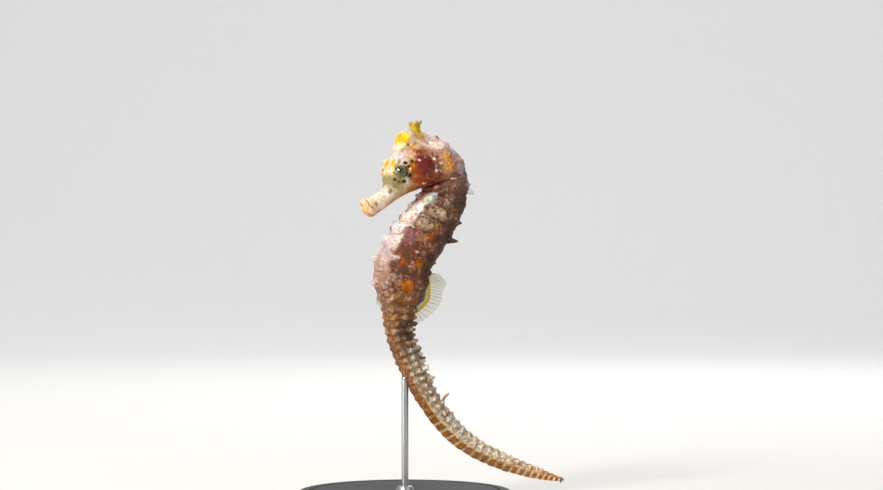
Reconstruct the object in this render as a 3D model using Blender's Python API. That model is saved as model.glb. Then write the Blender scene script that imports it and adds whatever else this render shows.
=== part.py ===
"""A seahorse at life size, held upright on a small display stand.

The animal is described in its own directions: forward (the way the belly faces), left and up,
in millimetres from the middle of the stand's underside.  Its body is one long loft of flat
sections, from the mouth over the head and down the trunk and the tail, parted by thin cuts.
"""

import math
from collections import namedtuple

import bmesh
import bpy
from mathutils import Matrix, Quaternion, Vector

MM = 0.001
FACING = math.radians(30)  # how far the belly turns from -X towards -Y
GAP = 0.3  # clear space between two touching pieces

# Head, neck and trunk: a row for each chord from the belly edge to the back edge, mouth first.
# belly forward, belly up, back forward, back up, half width, lean, squareness
# A positive lean makes the section narrower at its back edge.
CHORDS = (
    (11.7, 81.8, 13.9, 85.8, 1.90, 0.0, 2.0),
    (10.8, 81.3, 13.2, 86.7, 2.50, 0.0, 2.0),
    (9.2, 82.3, 11.1, 86.9, 2.15, 0.0, 2.0),
    (7.7, 83.3, 9.5, 87.7, 2.05, 0.0, 2.0),
    (6.2, 84.2, 7.8, 88.8, 2.15, 0.0, 2.1),
    (4.7, 85.3, 6.3, 90.6, 2.60, 0.0, 2.2),
    (3.0, 86.4, 5.5, 94.0, 3.40, 0.0, 2.3),
    (1.2, 87.4, 4.35, 97.4, 3.95, 0.10, 2.3),
    (-0.6, 88.2, 3.05, 100.9, 4.30, 0.20, 2.2),
    (-2.4, 88.8, 2.15, 104.5, 4.55, 0.32, 2.1),
    (-4.0, 89.4, -1.9, 106.5, 4.80, 0.40, 2.1),
    (-5.3, 89.9, -6.2, 105.3, 5.00, 0.30, 2.1),
    (-6.2, 90.4, -10.5, 103.6, 5.10, 0.15, 2.1),
    (-6.8, 90.7, -14.4, 101.4, 4.90, 0.05, 2.1),
    (-7.1, 90.6, -17.7, 97.9, 4.70, 0.0, 2.2),
    (-7.0, 90.2, -19.4, 92.8, 4.75, 0.0, 2.3),
    (-5.6, 88.4, -18.9, 86.2, 5.00, 0.0, 2.4),
    (-2.8, 85.2, -16.0, 79.4, 5.35, 0.0, 2.5),
    (2.2, 80.0, -11.2, 72.2, 5.70, 0.0, 2.5),
    (5.8, 75.0, -7.8, 67.9, 5.75, 0.0, 2.5),
    (8.5, 70.0, -6.9, 65.6, 5.80, 0.0, 2.5),
    (9.4, 63.9, -6.4, 63.2, 5.70, 0.0, 2.5),
    (7.5, 59.9, -5.2, 59.7, 4.95, 0.0, 2.8),
    (6.1, 56.8, -2.2, 56.4, 3.75, 0.0, 4.0),
)
HEAD_END = 11.2  # the row of the cut between head and neck
SNOUT_END = 5.0

# The tail's middle line below the trunk: forward, left, up.
TAIL_ROUTE = (
    (1.95, 0.0, 56.6),
    (1.7, 0.0, 48.8),
    (-0.9, 1.1, 41.0),
    (-4.4, 2.5, 33.0),
    (-9.9, 4.6, 24.4),
    (-16.6, 7.2, 17.8),
    (-25.7, 10.8, 12.7),
    (-35.9, 14.9, 8.9),
    (-41.6, 17.1, 7.3),
)
# Half the side of the tail's square section, at even steps from the trunk to the tip.
TAIL_HALF_SIDES = (3.75, 2.95, 2.80, 2.55, 2.40, 2.30, 2.15, 1.95, 1.65, 1.2, 0.4)
TAIL_SQUARENESS = 5.0
TAIL_TWIST = math.radians(40)  # the tail's roll at its tip; it grows with the square of the way

TRUNK_RINGS = 11
TAIL_RINGS = 35
RING_STEPS = (2.1, 2.3, 2.7, 2.3, 1.4)  # relative height of the tail's rings, at even steps
SIDES = 16  # points round a body section; every second one is a ridge or the middle of a face
TRUNK_RIDGES = (2, 4, 6, 8, 10, 12, 14)
TAIL_RIDGES = (2, 6, 10, 14)
TRUNK_SPINE = 0.75
TAIL_SPINE = 0.62
# Knobs down the middle of the belly that stand out more: ring and height.
BELLY_KNOBS = {6: 1.3, 7: 1.5, 8: 1.6, 9: 1.0}
# Long spines of the back: node, ring, degrees from the back, which way it points (forward, left,
# up), length, thickness at the root, how far the tip curls backwards.
BACK_SPINES = (
    ("neck", 2.76, 26, (-0.97, 0.15, -0.14), 2.4, 1.3, 0.0),
    ("trunk_upper", 5.55, 30, (-0.98, 0.2, -0.22), 2.6, 1.8, 0.0),
    ("tail_3", 21.9, 40, (-0.97, 0.2, 0.12), 2.0, 1.7, 0.0),
    ("tail_3", 25.4, 38, (-0.30, 0.2, 0.93), 3.1, 1.0, 0.45),
)
GROOVE = 0.14  # depth of the line between two rings

HEAD_SIDES = 24
EYE_RADIUS = 1.95
EYE_PLACE = (3.55, 3.55, 94.1)
EYE_SEGMENTS = 16

CORONET_PLACE = (-3.0, 105.2)  # forward and up of the middle of its foot
CORONET_TILT = math.radians(-3)
CORONET_POINTS = 5
CORONET_SLOPE = 0.15  # how much lower its front is, for each millimetre of height

# Swellings of the head: forward, up, radius, height.
ORBIT = (3.8, 94.7, 3.3, 1.15)
GILL_SWELLING = (-3.0, 95.6, 4.2, 0.55)
GILL_PLACE = (-2.9, 5.2, 95.6)
GILL_RADII = (3.1, 1.9, 4.2)
GILL_SEGMENTS = 20
# Spines of the head: forward, left, up, length.  Each pulls out the nearest point of the skin.
HEAD_SPINES = (
    (4.6, 4.4, 97.4, 0.9),
    (4.6, -4.4, 97.4, 0.9),
    (-3.6, 4.4, 90.6, 0.8),
    (-3.6, -4.4, 90.6, 0.8),
)

DORSAL_FIN_RINGS = (8.2, 11.4)
DORSAL_FIN_RAYS = 19
DORSAL_RAY_LENGTHS = (4.2, 6.8, 6.6, 6.3, 4.4)
ANAL_FIN_RAYS = 4
PECTORAL_FIN_RAYS = 11
FIN_THICKNESS = 0.6

BASE_RADIUS = 30.0
BASE_HEIGHT = 5.0
BASE_CHAMFER = 0.8
BASE_SEGMENTS = 64
ROD_RADIUS = 1.0
ROD_SEGMENTS = 20
ROD_FOOT_DEPTH = 3.0  # how far the rod sits in the base
ROD_TOP = 38.3

COLOURS = {
    "skin_head": (0.78, 0.62, 0.52),
    "skin_trunk": (0.52, 0.34, 0.24),
    "skin_tail": (0.50, 0.40, 0.30),
    "fin": (0.75, 0.68, 0.45),
    "eye": (0.05, 0.08, 0.07),
    "base": (0.03, 0.03, 0.035),
    "rod": (0.55, 0.56, 0.58),
}

Section = namedtuple("Section", "centre back left depth width lean squareness spine ridges")


def clear_scene():
    for obj in list(bpy.data.objects):
        bpy.data.objects.remove(obj, do_unlink=True)


def material(name, roughness=0.55, metallic=0.0):
    made = bpy.data.materials.get(name) or bpy.data.materials.new(name)
    made.use_nodes = True
    shader = made.node_tree.nodes["Principled BSDF"]
    shader.inputs["Base Color"].default_value = (*COLOURS[name], 1.0)
    shader.inputs["Roughness"].default_value = roughness
    shader.inputs["Metallic"].default_value = metallic
    return made


def in_world(point):
    """A point given as forward, left, up in millimetres, in metres in the world."""
    forward = Vector((-math.cos(FACING), -math.sin(FACING), 0.0))
    left = Vector((math.sin(FACING), -math.cos(FACING), 0.0))
    up = Vector((0.0, 0.0, 1.0))
    return (forward * point[0] + left * point[1] + up * point[2]) * MM


def eased(rows, place):
    """A smooth curve through the rows, read at a place counted in rows."""
    last = len(rows) - 1
    index = min(max(int(math.floor(place)), 0), last - 1)
    t = place - index
    before, here = rows[max(index - 1, 0)], rows[index]
    ahead, beyond = rows[index + 1], rows[min(index + 2, last)]
    return tuple(
        0.5 * (2 * b + (c - a) * t + (2 * a - 5 * b + 4 * c - d) * t * t
               + (3 * b - a - 3 * c + d) * t * t * t)
        for a, b, c, d in zip(before, here, ahead, beyond)
    )


def chord_section(row):
    """The section of the head, neck or trunk at a row of CHORDS."""
    belly_f, belly_u, back_f, back_u, width, lean, squareness = eased(CHORDS, row)
    belly, back = Vector((belly_f, 0.0, belly_u)), Vector((back_f, 0.0, back_u))
    chord = back - belly
    return Section(
        (belly + back) / 2, chord.normalized(), Vector((0.0, 1.0, 0.0)),
        chord.length / 2, width, lean, squareness, TRUNK_SPINE, TRUNK_RIDGES,
    )


def measured(curve, start, end, steps):
    """(place, length so far) along a curve, at even steps of its place."""
    rows = [(start, 0.0)]
    point = curve(start)
    for step in range(1, steps + 1):
        place = start + (end - start) * step / steps
        following = curve(place)
        rows.append((place, rows[-1][1] + (following - point).length))
        point = following
    return rows


def place_at(rows, length):
    """The place on a measured curve at this length."""
    for (place, before), (following, after) in zip(rows, rows[1:]):
        if length <= after:
            return place + (following - place) * (length - before) / (after - before)
    return rows[-1][0]


def tail_point(place):
    return Vector(eased(TAIL_ROUTE, place))


def tail_frames(steps=240):
    """Middle point, way along and left at even places of the tail, carried along with no twist."""
    last = len(TAIL_ROUTE) - 1
    left = Vector((0.0, 1.0, 0.0))
    along = Vector((0.0, 0.0, -1.0))
    frames = []
    for step in range(steps + 1):
        place = last * step / steps
        near = max(place - 0.02, 0.0)
        far = min(place + 0.02, last)
        following = (tail_point(far) - tail_point(near)).normalized()
        left = along.rotation_difference(following) @ left
        left = (left - following * left.dot(following)).normalized()
        along = following
        frames.append((tail_point(place), along, left))
    return frames


TRUNK_MEASURE = measured(
    lambda row: chord_section(row).centre, HEAD_END, len(CHORDS) - 1.0, 240
)
TAIL_MEASURE = measured(tail_point, 0.0, len(TAIL_ROUTE) - 1.0, 240)
TAIL_FRAMES = tail_frames()


def tail_fraction(rings):
    """How far along the tail's length this many of its rings reach, from 0 to 1."""
    def height(ring):
        return eased([(step,) for step in RING_STEPS], ring / TAIL_RINGS * (len(RING_STEPS) - 1))[0]

    heights = [height(ring + 0.5) for ring in range(TAIL_RINGS)]
    whole = int(rings)
    part = rings - whole
    reached = sum(heights[:whole]) + (heights[whole] * part if part > 0 else 0.0)
    return reached / sum(heights)


def tail_section(rings):
    fraction = tail_fraction(rings)
    place = place_at(TAIL_MEASURE, fraction * TAIL_MEASURE[-1][1])
    steps = len(TAIL_FRAMES) - 1
    index = min(round(place / (len(TAIL_ROUTE) - 1) * steps), steps)
    along, left = TAIL_FRAMES[index][1:]
    left = Quaternion(along, -TAIL_TWIST * fraction ** 2) @ left
    half = eased([(side,) for side in TAIL_HALF_SIDES], fraction * (len(TAIL_HALF_SIDES) - 1))[0]
    depth = half * (1.0 + 0.12 * max(0.0, 1.0 - fraction * 12))
    squareness = 4.0 + (TAIL_SQUARENESS - 4.0) * min(1.0, fraction * 12)
    spine = TAIL_SPINE * (1.0 - 0.55 * fraction) * min(1.0, half / 1.6)
    return Section(
        tail_point(place), left.cross(along).normalized(), left, depth, half, 0.0,
        squareness, spine, TAIL_RIDGES,
    )


def body_section(ring):
    """The section at a place counted in rings from the back of the head, tail rings included."""
    if ring >= TRUNK_RINGS:
        return tail_section(ring - TRUNK_RINGS)
    length = TRUNK_MEASURE[-1][1] * ring / TRUNK_RINGS
    return chord_section(place_at(TRUNK_MEASURE, length))


def rim(section, sides, crest=None, grow=0.0, shift=0.0, belly=None):
    """The closed outline of a section. crest is 1 on the middle of a ring and 0 in a groove."""
    along = section.back.cross(section.left)
    points = []
    for side in range(sides):
        angle = 2 * math.pi * side / sides
        back, left = math.cos(angle), math.sin(angle)
        power = section.squareness
        reach = (abs(back) ** power + abs(left) ** power) ** (-1.0 / power)
        rise = grow
        if crest is not None:
            on_ridge = side in section.ridges
            spine = belly if belly and side * 2 == sides else section.spine
            rise += crest * (spine if on_ridge else 0.1) - (1.0 - crest) * GROOVE
            reach *= 1.0 if side % 2 == 0 else 0.975
        back_reach = section.depth * reach * back + rise * back
        left_reach = section.width * reach * left * (1.0 - section.lean * back) + rise * left
        points.append(
            section.centre + section.back * back_reach + section.left * left_reach
            + along * shift
        )
    return points


def solid(name, finish, mesh_edit):
    """A new object whose closed mesh mesh_edit draws, with its faces turned outwards."""
    mesh = bpy.data.meshes.new(name)
    edit = bmesh.new()
    mesh_edit(edit)
    edit.normal_update()
    bmesh.ops.recalc_face_normals(edit, faces=edit.faces)
    edit.to_mesh(mesh)
    edit.free()
    mesh.materials.append(finish)
    made = bpy.data.objects.new(name, mesh)
    bpy.context.scene.collection.objects.link(made)
    return made


def loft(name, finish, rims):
    """A skin over these outlines, closed at both ends with a fan."""
    def draw(edit):
        rows = [[edit.verts.new(in_world(point)) for point in outline] for outline in rims]
        count = len(rows[0])
        for row, following in zip(rows, rows[1:]):
            for i in range(count):
                j = (i + 1) % count
                edit.faces.new((row[i], row[j], following[j], following[i]))
        for row in (rows[0], rows[-1]):
            middle = sum((vert.co for vert in row), Vector()) / count
            hub = edit.verts.new(middle)
            for i in range(count):
                edit.faces.new((row[i], row[(i + 1) % count], hub))

    return solid(name, finish, draw)


def shade(obj, degrees=40):
    obj.data.shade_smooth()
    obj.data.set_sharp_from_angle(angle=math.radians(degrees))


def cut_with(obj, cutter):
    cutter.hide_render = True
    cutter.display_type = "WIRE"
    boolean = obj.modifiers.new("cut " + cutter.name, "BOOLEAN")
    boolean.operation = "DIFFERENCE"
    boolean.solver = "EXACT"
    boolean.object = cutter


def head_rims(start, end, sides, grow=0.0, front_shift=0.0, back_shift=0.0):
    count = round((end - start) * 2)
    rims = []
    for step in range(count + 1):
        shift = front_shift if step == 0 else back_shift if step == count else 0.0
        section = chord_section(start + (end - start) * step / count)
        rims.append([swollen(point) for point in rim(section, sides, grow=grow, shift=shift)])
    return rims


def ring_rims(first, last, grow=0.0, inset=GAP / 2):
    """Outlines from one ring border to another: a groove at each border, a crest between."""
    rims = []
    for ring in range(first, last):
        big = 1.0 if ring % 2 == 0 or ring >= TRUNK_RINGS else 0.55
        belly = BELLY_KNOBS[ring] / big if ring in BELLY_KNOBS else None
        rims.append(rim(body_section(ring), SIDES, 0.0, grow, inset if ring == first else 0.0))
        if ring < TRUNK_RINGS:
            rims.append(rim(body_section(ring + 0.28), SIDES, 0.25 * big, grow))
        rims.append(rim(body_section(ring + 0.5), SIDES, big, grow, belly=belly))
        if ring < TRUNK_RINGS:
            rims.append(rim(body_section(ring + 0.72), SIDES, 0.25 * big, grow))
    rims.append(rim(body_section(last), SIDES, 0.0, grow, -inset))
    return rims


def swollen(point):
    """A point of the head's skin, moved out sideways where an orbit or a gill cover swells."""
    side = math.copysign(1.0, point.y) if abs(point.y) > 0.5 else 0.0
    moved = point.copy()
    for forward, up, radius, height in (ORBIT, GILL_SWELLING):
        away = math.hypot(point.x - forward, point.z - up) / radius
        moved.y += side * height * math.exp(-away ** 4)
    return moved


def pull_spines(head):
    for forward, left, up, length in HEAD_SPINES:
        tip = in_world((forward, left, up))
        nearest = min(head.data.vertices, key=lambda vert: (vert.co - tip).length)
        nearest.co += nearest.normal * length * MM


def make_snout():
    rims = head_rims(0.0, SNOUT_END, HEAD_SIDES, back_shift=-GAP / 2)
    shade(loft("snout", material("skin_head"), rims))


def eye_ball(name, side, radius):
    def draw(edit):
        place = Matrix.Translation(in_world((EYE_PLACE[0], side * EYE_PLACE[1], EYE_PLACE[2])))
        bmesh.ops.create_uvsphere(
            edit, u_segments=EYE_SEGMENTS, v_segments=EYE_SEGMENTS // 2 + 2,
            radius=radius * MM, matrix=place,
        )

    return solid(name, material("eye", 0.12), draw)


def make_coronet(name, grow=0.0, sink=0.0):
    """The crown: a stem that flares to a ring of small points with a hollow between them."""
    #        height, mean radius, how far the points stand out
    levels = ((-1.6, 1.95, 0.0), (0.4, 1.85, 0.0), (1.4, 1.50, 0.08), (2.2, 1.65, 0.13),
              (3.05, 1.80, 0.18), (3.0, 1.2, 0.16))
    lean = Quaternion((0.0, 1.0, 0.0), CORONET_TILT)
    sides = CORONET_POINTS * 4
    rims = []
    for height, radius, stand_out in levels:
        outline = []
        for side in range(sides):
            angle = 2 * math.pi * side / sides
            lobe = math.cos(angle * CORONET_POINTS)
            reach = radius * (1.0 + stand_out * lobe) + grow
            rise = height + (0.32 * lobe if height > 2.5 else 0.0) - sink
            rise -= CORONET_SLOPE * height * math.cos(angle)
            point = lean @ Vector((reach * math.cos(angle), reach * math.sin(angle), rise))
            outline.append(point + Vector((CORONET_PLACE[0], 0.0, CORONET_PLACE[1])))
        rims.append(outline)
    return loft(name, material("skin_head"), rims)


def gill_lens(name, side, grow=0.0):
    """The flattened ball whose overlap with the head is a gill cover."""
    def draw(edit):
        bmesh.ops.create_uvsphere(
            edit, u_segments=GILL_SEGMENTS, v_segments=GILL_SEGMENTS // 2, radius=1.0
        )
        for vert in edit.verts:
            x, y, z = vert.co
            vert.co = in_world((
                GILL_PLACE[0] + x * (GILL_RADII[0] + grow),
                side * (GILL_PLACE[1] + y * (GILL_RADII[1] + grow)),
                GILL_PLACE[2] + z * (GILL_RADII[2] + grow),
            ))

    return solid(name, material("skin_head"), draw)


def make_gill_cover(label, side, rims):
    """The bony plate over the gills: the part of the head's side inside the lens."""
    cover = loft("gill_cover_" + label, material("skin_head"), rims)
    lens = gill_lens("gill_lens_" + label, side)
    lens.hide_render = True
    lens.display_type = "WIRE"
    boolean = cover.modifiers.new("keep " + lens.name, "BOOLEAN")
    boolean.operation = "INTERSECT"
    boolean.solver = "EXACT"
    boolean.object = lens
    shade(cover, 60)


def make_head():
    rims = head_rims(SNOUT_END, HEAD_END, HEAD_SIDES, front_shift=GAP / 2, back_shift=-GAP / 2)
    head = loft("head", material("skin_head"), rims)
    pull_spines(head)
    for label, side in (("left", 1), ("right", -1)):
        make_gill_cover(label, side, rims)
        cut_with(head, gill_lens("gill_seat_in_head_" + label, side, GAP))
    for label, side in (("left", 1), ("right", -1)):
        shade(eye_ball("eye_" + label, side, EYE_RADIUS), 180)
        cut_with(head, eye_ball("socket_" + label, side, EYE_RADIUS + GAP))
    shade(make_coronet("coronet"))
    cut_with(head, make_coronet("coronet_socket", grow=GAP, sink=GAP))
    return head


def make_body_lengths():
    lengths = (
        ("neck", 0, 3), ("trunk_upper", 3, 6), ("trunk_middle", 6, 9), ("trunk_lower", 9, 11),
        ("tail_1", 11, 16), ("tail_2", 16, 21), ("tail_3", 21, 26), ("tail_4", 26, 31),
        ("tail_5", 31, 38), ("tail_6", 38, 46),
    )
    for name, first, last in lengths:
        skin = "skin_trunk" if last <= TRUNK_RINGS else "skin_tail"
        shade(loft(name, material(skin), ring_rims(first, last)), 60)


def back_spine(node, number, ring, degrees, way, length, thickness, curl):
    """A tapered spine or thread joined to a length of the body."""
    section = body_section(ring)
    angle = math.radians(degrees)
    power = section.squareness
    reach = (abs(math.cos(angle)) ** power + abs(math.sin(angle)) ** power) ** (-1.0 / power)
    root = (section.centre + section.back * (section.depth * reach * math.cos(angle))
            + section.left * (section.width * reach * math.sin(angle)))
    way = Vector(way).normalized()
    bend = way.cross(Vector((0.0, 1.0, 0.0))).normalized()
    rims = []
    for t, size in ((-0.4, 1.0), (0.0, 1.0), (0.35, 0.8), (0.7, 0.5), (1.0, 0.22)):
        middle = root + (way * t + bend * (curl * max(t, 0.0) ** 2)) * length
        side = Vector((0.0, 1.0, 0.0)).cross(way).normalized()
        other = way.cross(side)
        rims.append([
            middle + (side * math.cos(a) + other * math.sin(a)) * (thickness * size / 2)
            for a in (2 * math.pi * i / 8 for i in range(8))
        ])
    spine = loft(f"spine_{number}", material("skin_trunk"), rims)
    spine.hide_render = True
    spine.display_type = "WIRE"
    body = bpy.data.objects[node]
    boolean = body.modifiers.new("join " + spine.name, "BOOLEAN")
    boolean.operation = "UNION"
    boolean.solver = "EXACT"
    boolean.object = spine


def body_cutter(name, first, last):
    """A stretch of the body made larger by the gap, to cut what meets it."""
    return loft(name, material("skin_trunk"), ring_rims(first, last, grow=GAP, inset=0.0))


def envelope_cutter(name, first, last):
    """The same without grooves, so that it touches only the rings' crests."""
    rims = [rim(body_section(ring), SIDES, 1.0, GAP) for ring in range(first, last + 1)]
    return loft(name, material("skin_trunk"), rims)


def fan(name, roots, tips, out, thickness):
    """A fin: a thin plate from its roots to the tips of its rays, scalloped between them."""
    count = len(roots)
    columns = []
    for i in range(count * 2 - 1):
        lower, upper = i // 2, (i + 1) // 2
        root = (roots[lower] + roots[upper]) / 2
        tip = (tips[lower] + tips[upper]) / 2
        if lower != upper:
            tip = root + (tip - root) * 0.95
        columns.append((root, root.lerp(tip, 0.55), tip))

    def draw(edit):
        sheets = []
        for side in (1, -1):
            offset = out * (side * thickness / 2)
            sheets.append([[edit.verts.new(in_world(p + offset)) for p in col] for col in columns])
        for sheet in sheets:
            for col, following in zip(sheet, sheet[1:]):
                for k in range(2):
                    edit.faces.new((col[k], col[k + 1], following[k + 1], following[k]))
        front, rear = sheets
        edge = [(i, 0) for i in range(len(columns))] + [(len(columns) - 1, 1)]
        edge += [(i, 2) for i in reversed(range(len(columns)))] + [(0, 1)]
        for (a, b), (c, d) in zip(edge, edge[1:] + edge[:1]):
            edit.faces.new((front[a][b], front[c][d], rear[c][d], rear[a][b]))

    return solid(name, material("fin", 0.4), draw)


def back_edge(ring):
    section = body_section(ring)
    return section.centre + section.back * section.depth


def belly_edge(ring):
    section = body_section(ring)
    return section.centre - section.back * section.depth


def make_dorsal_fin():
    roots, tips = [], []
    first, last = DORSAL_FIN_RINGS
    for ray in range(DORSAL_FIN_RAYS):
        part = ray / (DORSAL_FIN_RAYS - 1)
        root = back_edge(first + (last - first) * part)
        slope = math.radians(-10 - 4 * part - 57 * part ** 9)
        length = eased([(size,) for size in DORSAL_RAY_LENGTHS],
                       part * (len(DORSAL_RAY_LENGTHS) - 1))[0]
        way = Vector((-math.cos(slope), 0.0, math.sin(slope)))
        roots.append(root - way * 1.2)
        tips.append(root + way * length)
    fin = fan("dorsal_fin", roots, tips, Vector((0.0, 1.0, 0.0)), FIN_THICKNESS)
    cut_with(fin, body_cutter("dorsal_fin_seat", 7, 13))


def make_anal_fin():
    roots, tips = [], []
    for ray in range(ANAL_FIN_RAYS):
        part = ray / (ANAL_FIN_RAYS - 1)
        root = belly_edge(9.9 + 0.4 * part)
        slope = math.radians(-80 - 12 * part)
        way = Vector((math.cos(slope), 0.0, math.sin(slope)))
        roots.append(root - Vector((1.2, 0.0, -0.6)))
        tips.append(root + way * (4.4 - 0.6 * part))
    fin = fan("anal_fin", roots, tips, Vector((0.0, 1.0, 0.0)), FIN_THICKNESS)
    cut_with(fin, body_cutter("anal_fin_seat", 9, 14))


def make_pectoral_fin(label, side):
    """The small fan behind the gill cover, standing out from the side of the neck."""
    roots, tips = [], []
    for ray in range(PECTORAL_FIN_RAYS):
        part = ray / (PECTORAL_FIN_RAYS - 1)
        root = Vector((-7.3 - 0.3 * part, side * 5.3, 98.0 - 3.4 * part))
        slope = math.radians(30 - 66 * part)
        way = Vector((-math.cos(slope), side * 0.62, math.sin(slope))).normalized()
        roots.append(root - way * 0.5)
        tips.append(root + way * (2.4 + 0.9 * math.sin(math.pi * part)))
    out = Vector((0.53, side * 0.85, 0.0)).normalized()
    fin = fan("pectoral_fin_" + label, roots, tips, out, FIN_THICKNESS)
    cut_with(fin, body_cutter("pectoral_seat_" + label, 0, 3))
    behind_head = head_rims(9.0, HEAD_END, HEAD_SIDES, grow=GAP)
    cut_with(fin, loft("gill_seat_" + label, material("skin_head"), behind_head))


def make_stand():
    def draw_base(edit):
        profile = ((0.0, BASE_RADIUS), (BASE_HEIGHT - BASE_CHAMFER, BASE_RADIUS),
                   (BASE_HEIGHT, BASE_RADIUS - BASE_CHAMFER))
        rows = []
        for height, radius in profile:
            rows.append([
                edit.verts.new(Vector((radius * math.cos(a), radius * math.sin(a), height)) * MM)
                for a in (2 * math.pi * i / BASE_SEGMENTS for i in range(BASE_SEGMENTS))
            ])
        for row, following in zip(rows, rows[1:]):
            for i in range(BASE_SEGMENTS):
                j = (i + 1) % BASE_SEGMENTS
                edit.faces.new((row[i], row[j], following[j], following[i]))
        edit.faces.new(list(reversed(rows[0])))
        edit.faces.new(rows[-1])

    def draw_rod(edit, bottom, top, radius):
        bmesh.ops.create_cone(
            edit, cap_ends=True, segments=ROD_SEGMENTS, radius1=radius * MM, radius2=radius * MM,
            depth=(top - bottom) * MM,
            matrix=Matrix.Translation(Vector((0.0, 0.0, (top + bottom) / 2 * MM))),
        )

    foot = BASE_HEIGHT - ROD_FOOT_DEPTH
    base = solid("stand_base", material("base", 0.35), draw_base)
    shade(base)
    hole = solid(
        "stand_base_hole", material("base"),
        lambda edit: draw_rod(edit, foot - GAP, BASE_HEIGHT + 1.0, ROD_RADIUS + GAP),
    )
    cut_with(base, hole)
    rod = solid(
        "stand_rod", material("rod", 0.3, 1.0),
        lambda edit: draw_rod(edit, foot, ROD_TOP, ROD_RADIUS),
    )
    shade(rod)
    cut_with(rod, envelope_cutter("stand_rod_seat", 14, 24))


def main():
    clear_scene()
    make_snout()
    head = make_head()
    shade(head, 60)
    make_body_lengths()
    for number, (node, *shape) in enumerate(BACK_SPINES):
        back_spine(node, number, *shape)
    make_dorsal_fin()
    make_anal_fin()
    for label, side in (("left", 1), ("right", -1)):
        make_pectoral_fin(label, side)
    make_stand()


main()
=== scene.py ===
"""A seahorse at life size on its display stand: the finish of every surface, built round the frame.

The animal is described in its own directions, forward (the way the belly faces), left and up, in
millimetres from the middle of the stand's underside, and turned into the world at the end.
"""

import math

import bmesh
import bpy
import numpy as np
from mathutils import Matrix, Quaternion, Vector, noise
from mathutils.kdtree import KDTree


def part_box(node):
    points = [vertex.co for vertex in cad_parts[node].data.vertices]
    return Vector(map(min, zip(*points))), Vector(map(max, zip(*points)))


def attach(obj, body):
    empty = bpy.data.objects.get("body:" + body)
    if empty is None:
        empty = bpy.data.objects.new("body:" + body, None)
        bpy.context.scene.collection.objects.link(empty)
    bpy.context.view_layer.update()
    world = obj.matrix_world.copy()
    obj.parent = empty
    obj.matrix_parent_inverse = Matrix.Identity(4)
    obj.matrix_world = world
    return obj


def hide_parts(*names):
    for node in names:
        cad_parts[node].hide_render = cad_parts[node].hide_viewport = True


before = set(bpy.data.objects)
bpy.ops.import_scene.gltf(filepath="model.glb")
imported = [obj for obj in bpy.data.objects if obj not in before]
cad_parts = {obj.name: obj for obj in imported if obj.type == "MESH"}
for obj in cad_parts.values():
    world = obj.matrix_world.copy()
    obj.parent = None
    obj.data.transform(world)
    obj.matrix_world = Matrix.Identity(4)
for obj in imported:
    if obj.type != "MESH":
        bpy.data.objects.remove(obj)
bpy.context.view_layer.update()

# ---------------------------------------------------------------------------------------------
# The room: a pale round floor that sweeps up into a wall, like a studio's roll of paper. The key
# lamp stands high before the belly, with a wide one low beside it. A cool one fills the side of
# the back, one behind draws the rims, and the last lights the paper.
MM = 0.001
FLOOR_RADIUS = 0.9  # the flat part of the paper, in metres
SWEEP_RADIUS = 0.9
WALL_HEIGHT = 1.6
CAMERA_DISTANCE = 0.62  # in metres, as the next three
CAMERA_SIDE = 0.01022
CAMERA_HEIGHT = 0.0737
VIEW_WIDTH = 0.24724  # seen across, at the stand's axis
FILM_WIDTH = 36.0  # millimetres


def linear(hex_colour):
    """An sRGB hex colour as linear red, green, blue and 1."""
    parts = [int(hex_colour[i:i + 2], 16) / 255 for i in (1, 3, 5)]
    parts = [c / 12.92 if c <= 0.04045 else ((c + 0.055) / 1.055) ** 2.4 for c in parts]
    return (*parts, 1.0)


def add(tree, kind, links=None, stops=(), **settings):
    """A new node with its settings; links gives each input a value or a socket.

    kind is a shader node's short name, or the full name of any other. stops gives a colour ramp
    its places and hex colours, in rising order.
    """
    made = tree.nodes.new(kind if "Node" in kind else "ShaderNode" + kind)
    for name, value in settings.items():
        setattr(made, name, value)
    for key, value in (links or {}).items():
        if isinstance(value, bpy.types.NodeSocket):
            tree.links.new(value, made.inputs[key])
        else:
            made.inputs[key].default_value = value
    for index, (at, colour) in enumerate(stops):
        ramp = made.color_ramp.elements
        stop = ramp[index] if index < 2 else ramp.new(at)
        stop.position = at
        stop.color = linear(colour)
    return made


def new_material(name, **shader_inputs):
    """A material with one Principled shader; returns the material, its tree and the shader."""
    made = bpy.data.materials.new(name)
    made.use_nodes = True
    shader = made.node_tree.nodes["Principled BSDF"]
    for key, value in shader_inputs.items():
        shader.inputs[key.replace("_", " ")].default_value = value
    return made, made.node_tree, shader


def mesh_object(name, points, faces, finish=None):
    """A smooth-shaded mesh from points in metres."""
    mesh = bpy.data.meshes.new(name)
    mesh.from_pydata(np.asarray(points).tolist(), [], faces)
    mesh.shade_smooth()
    if finish:
        mesh.materials.append(finish)
    made = bpy.data.objects.new(name, mesh)
    bpy.context.scene.collection.objects.link(made)
    return made


def turned(profile, segments):
    """Points and faces of a profile of (radius, height) turned about the upright axis."""
    points, faces, rows = [], [], []
    for radius, height in profile:
        if radius == 0.0:
            rows.append([len(points)] * segments)
            points.append((0.0, 0.0, height))
            continue
        rows.append([len(points) + i for i in range(segments)])
        for i in range(segments):
            angle = 2 * math.pi * i / segments
            points.append((radius * math.cos(angle), radius * math.sin(angle), height))
    for row, following in zip(rows, rows[1:]):
        for i in range(segments):
            j = (i + 1) % segments
            corners = [row[i], row[j], following[j], following[i]]
            faces.append(list(dict.fromkeys(corners)))
    return np.array(points), faces


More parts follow.
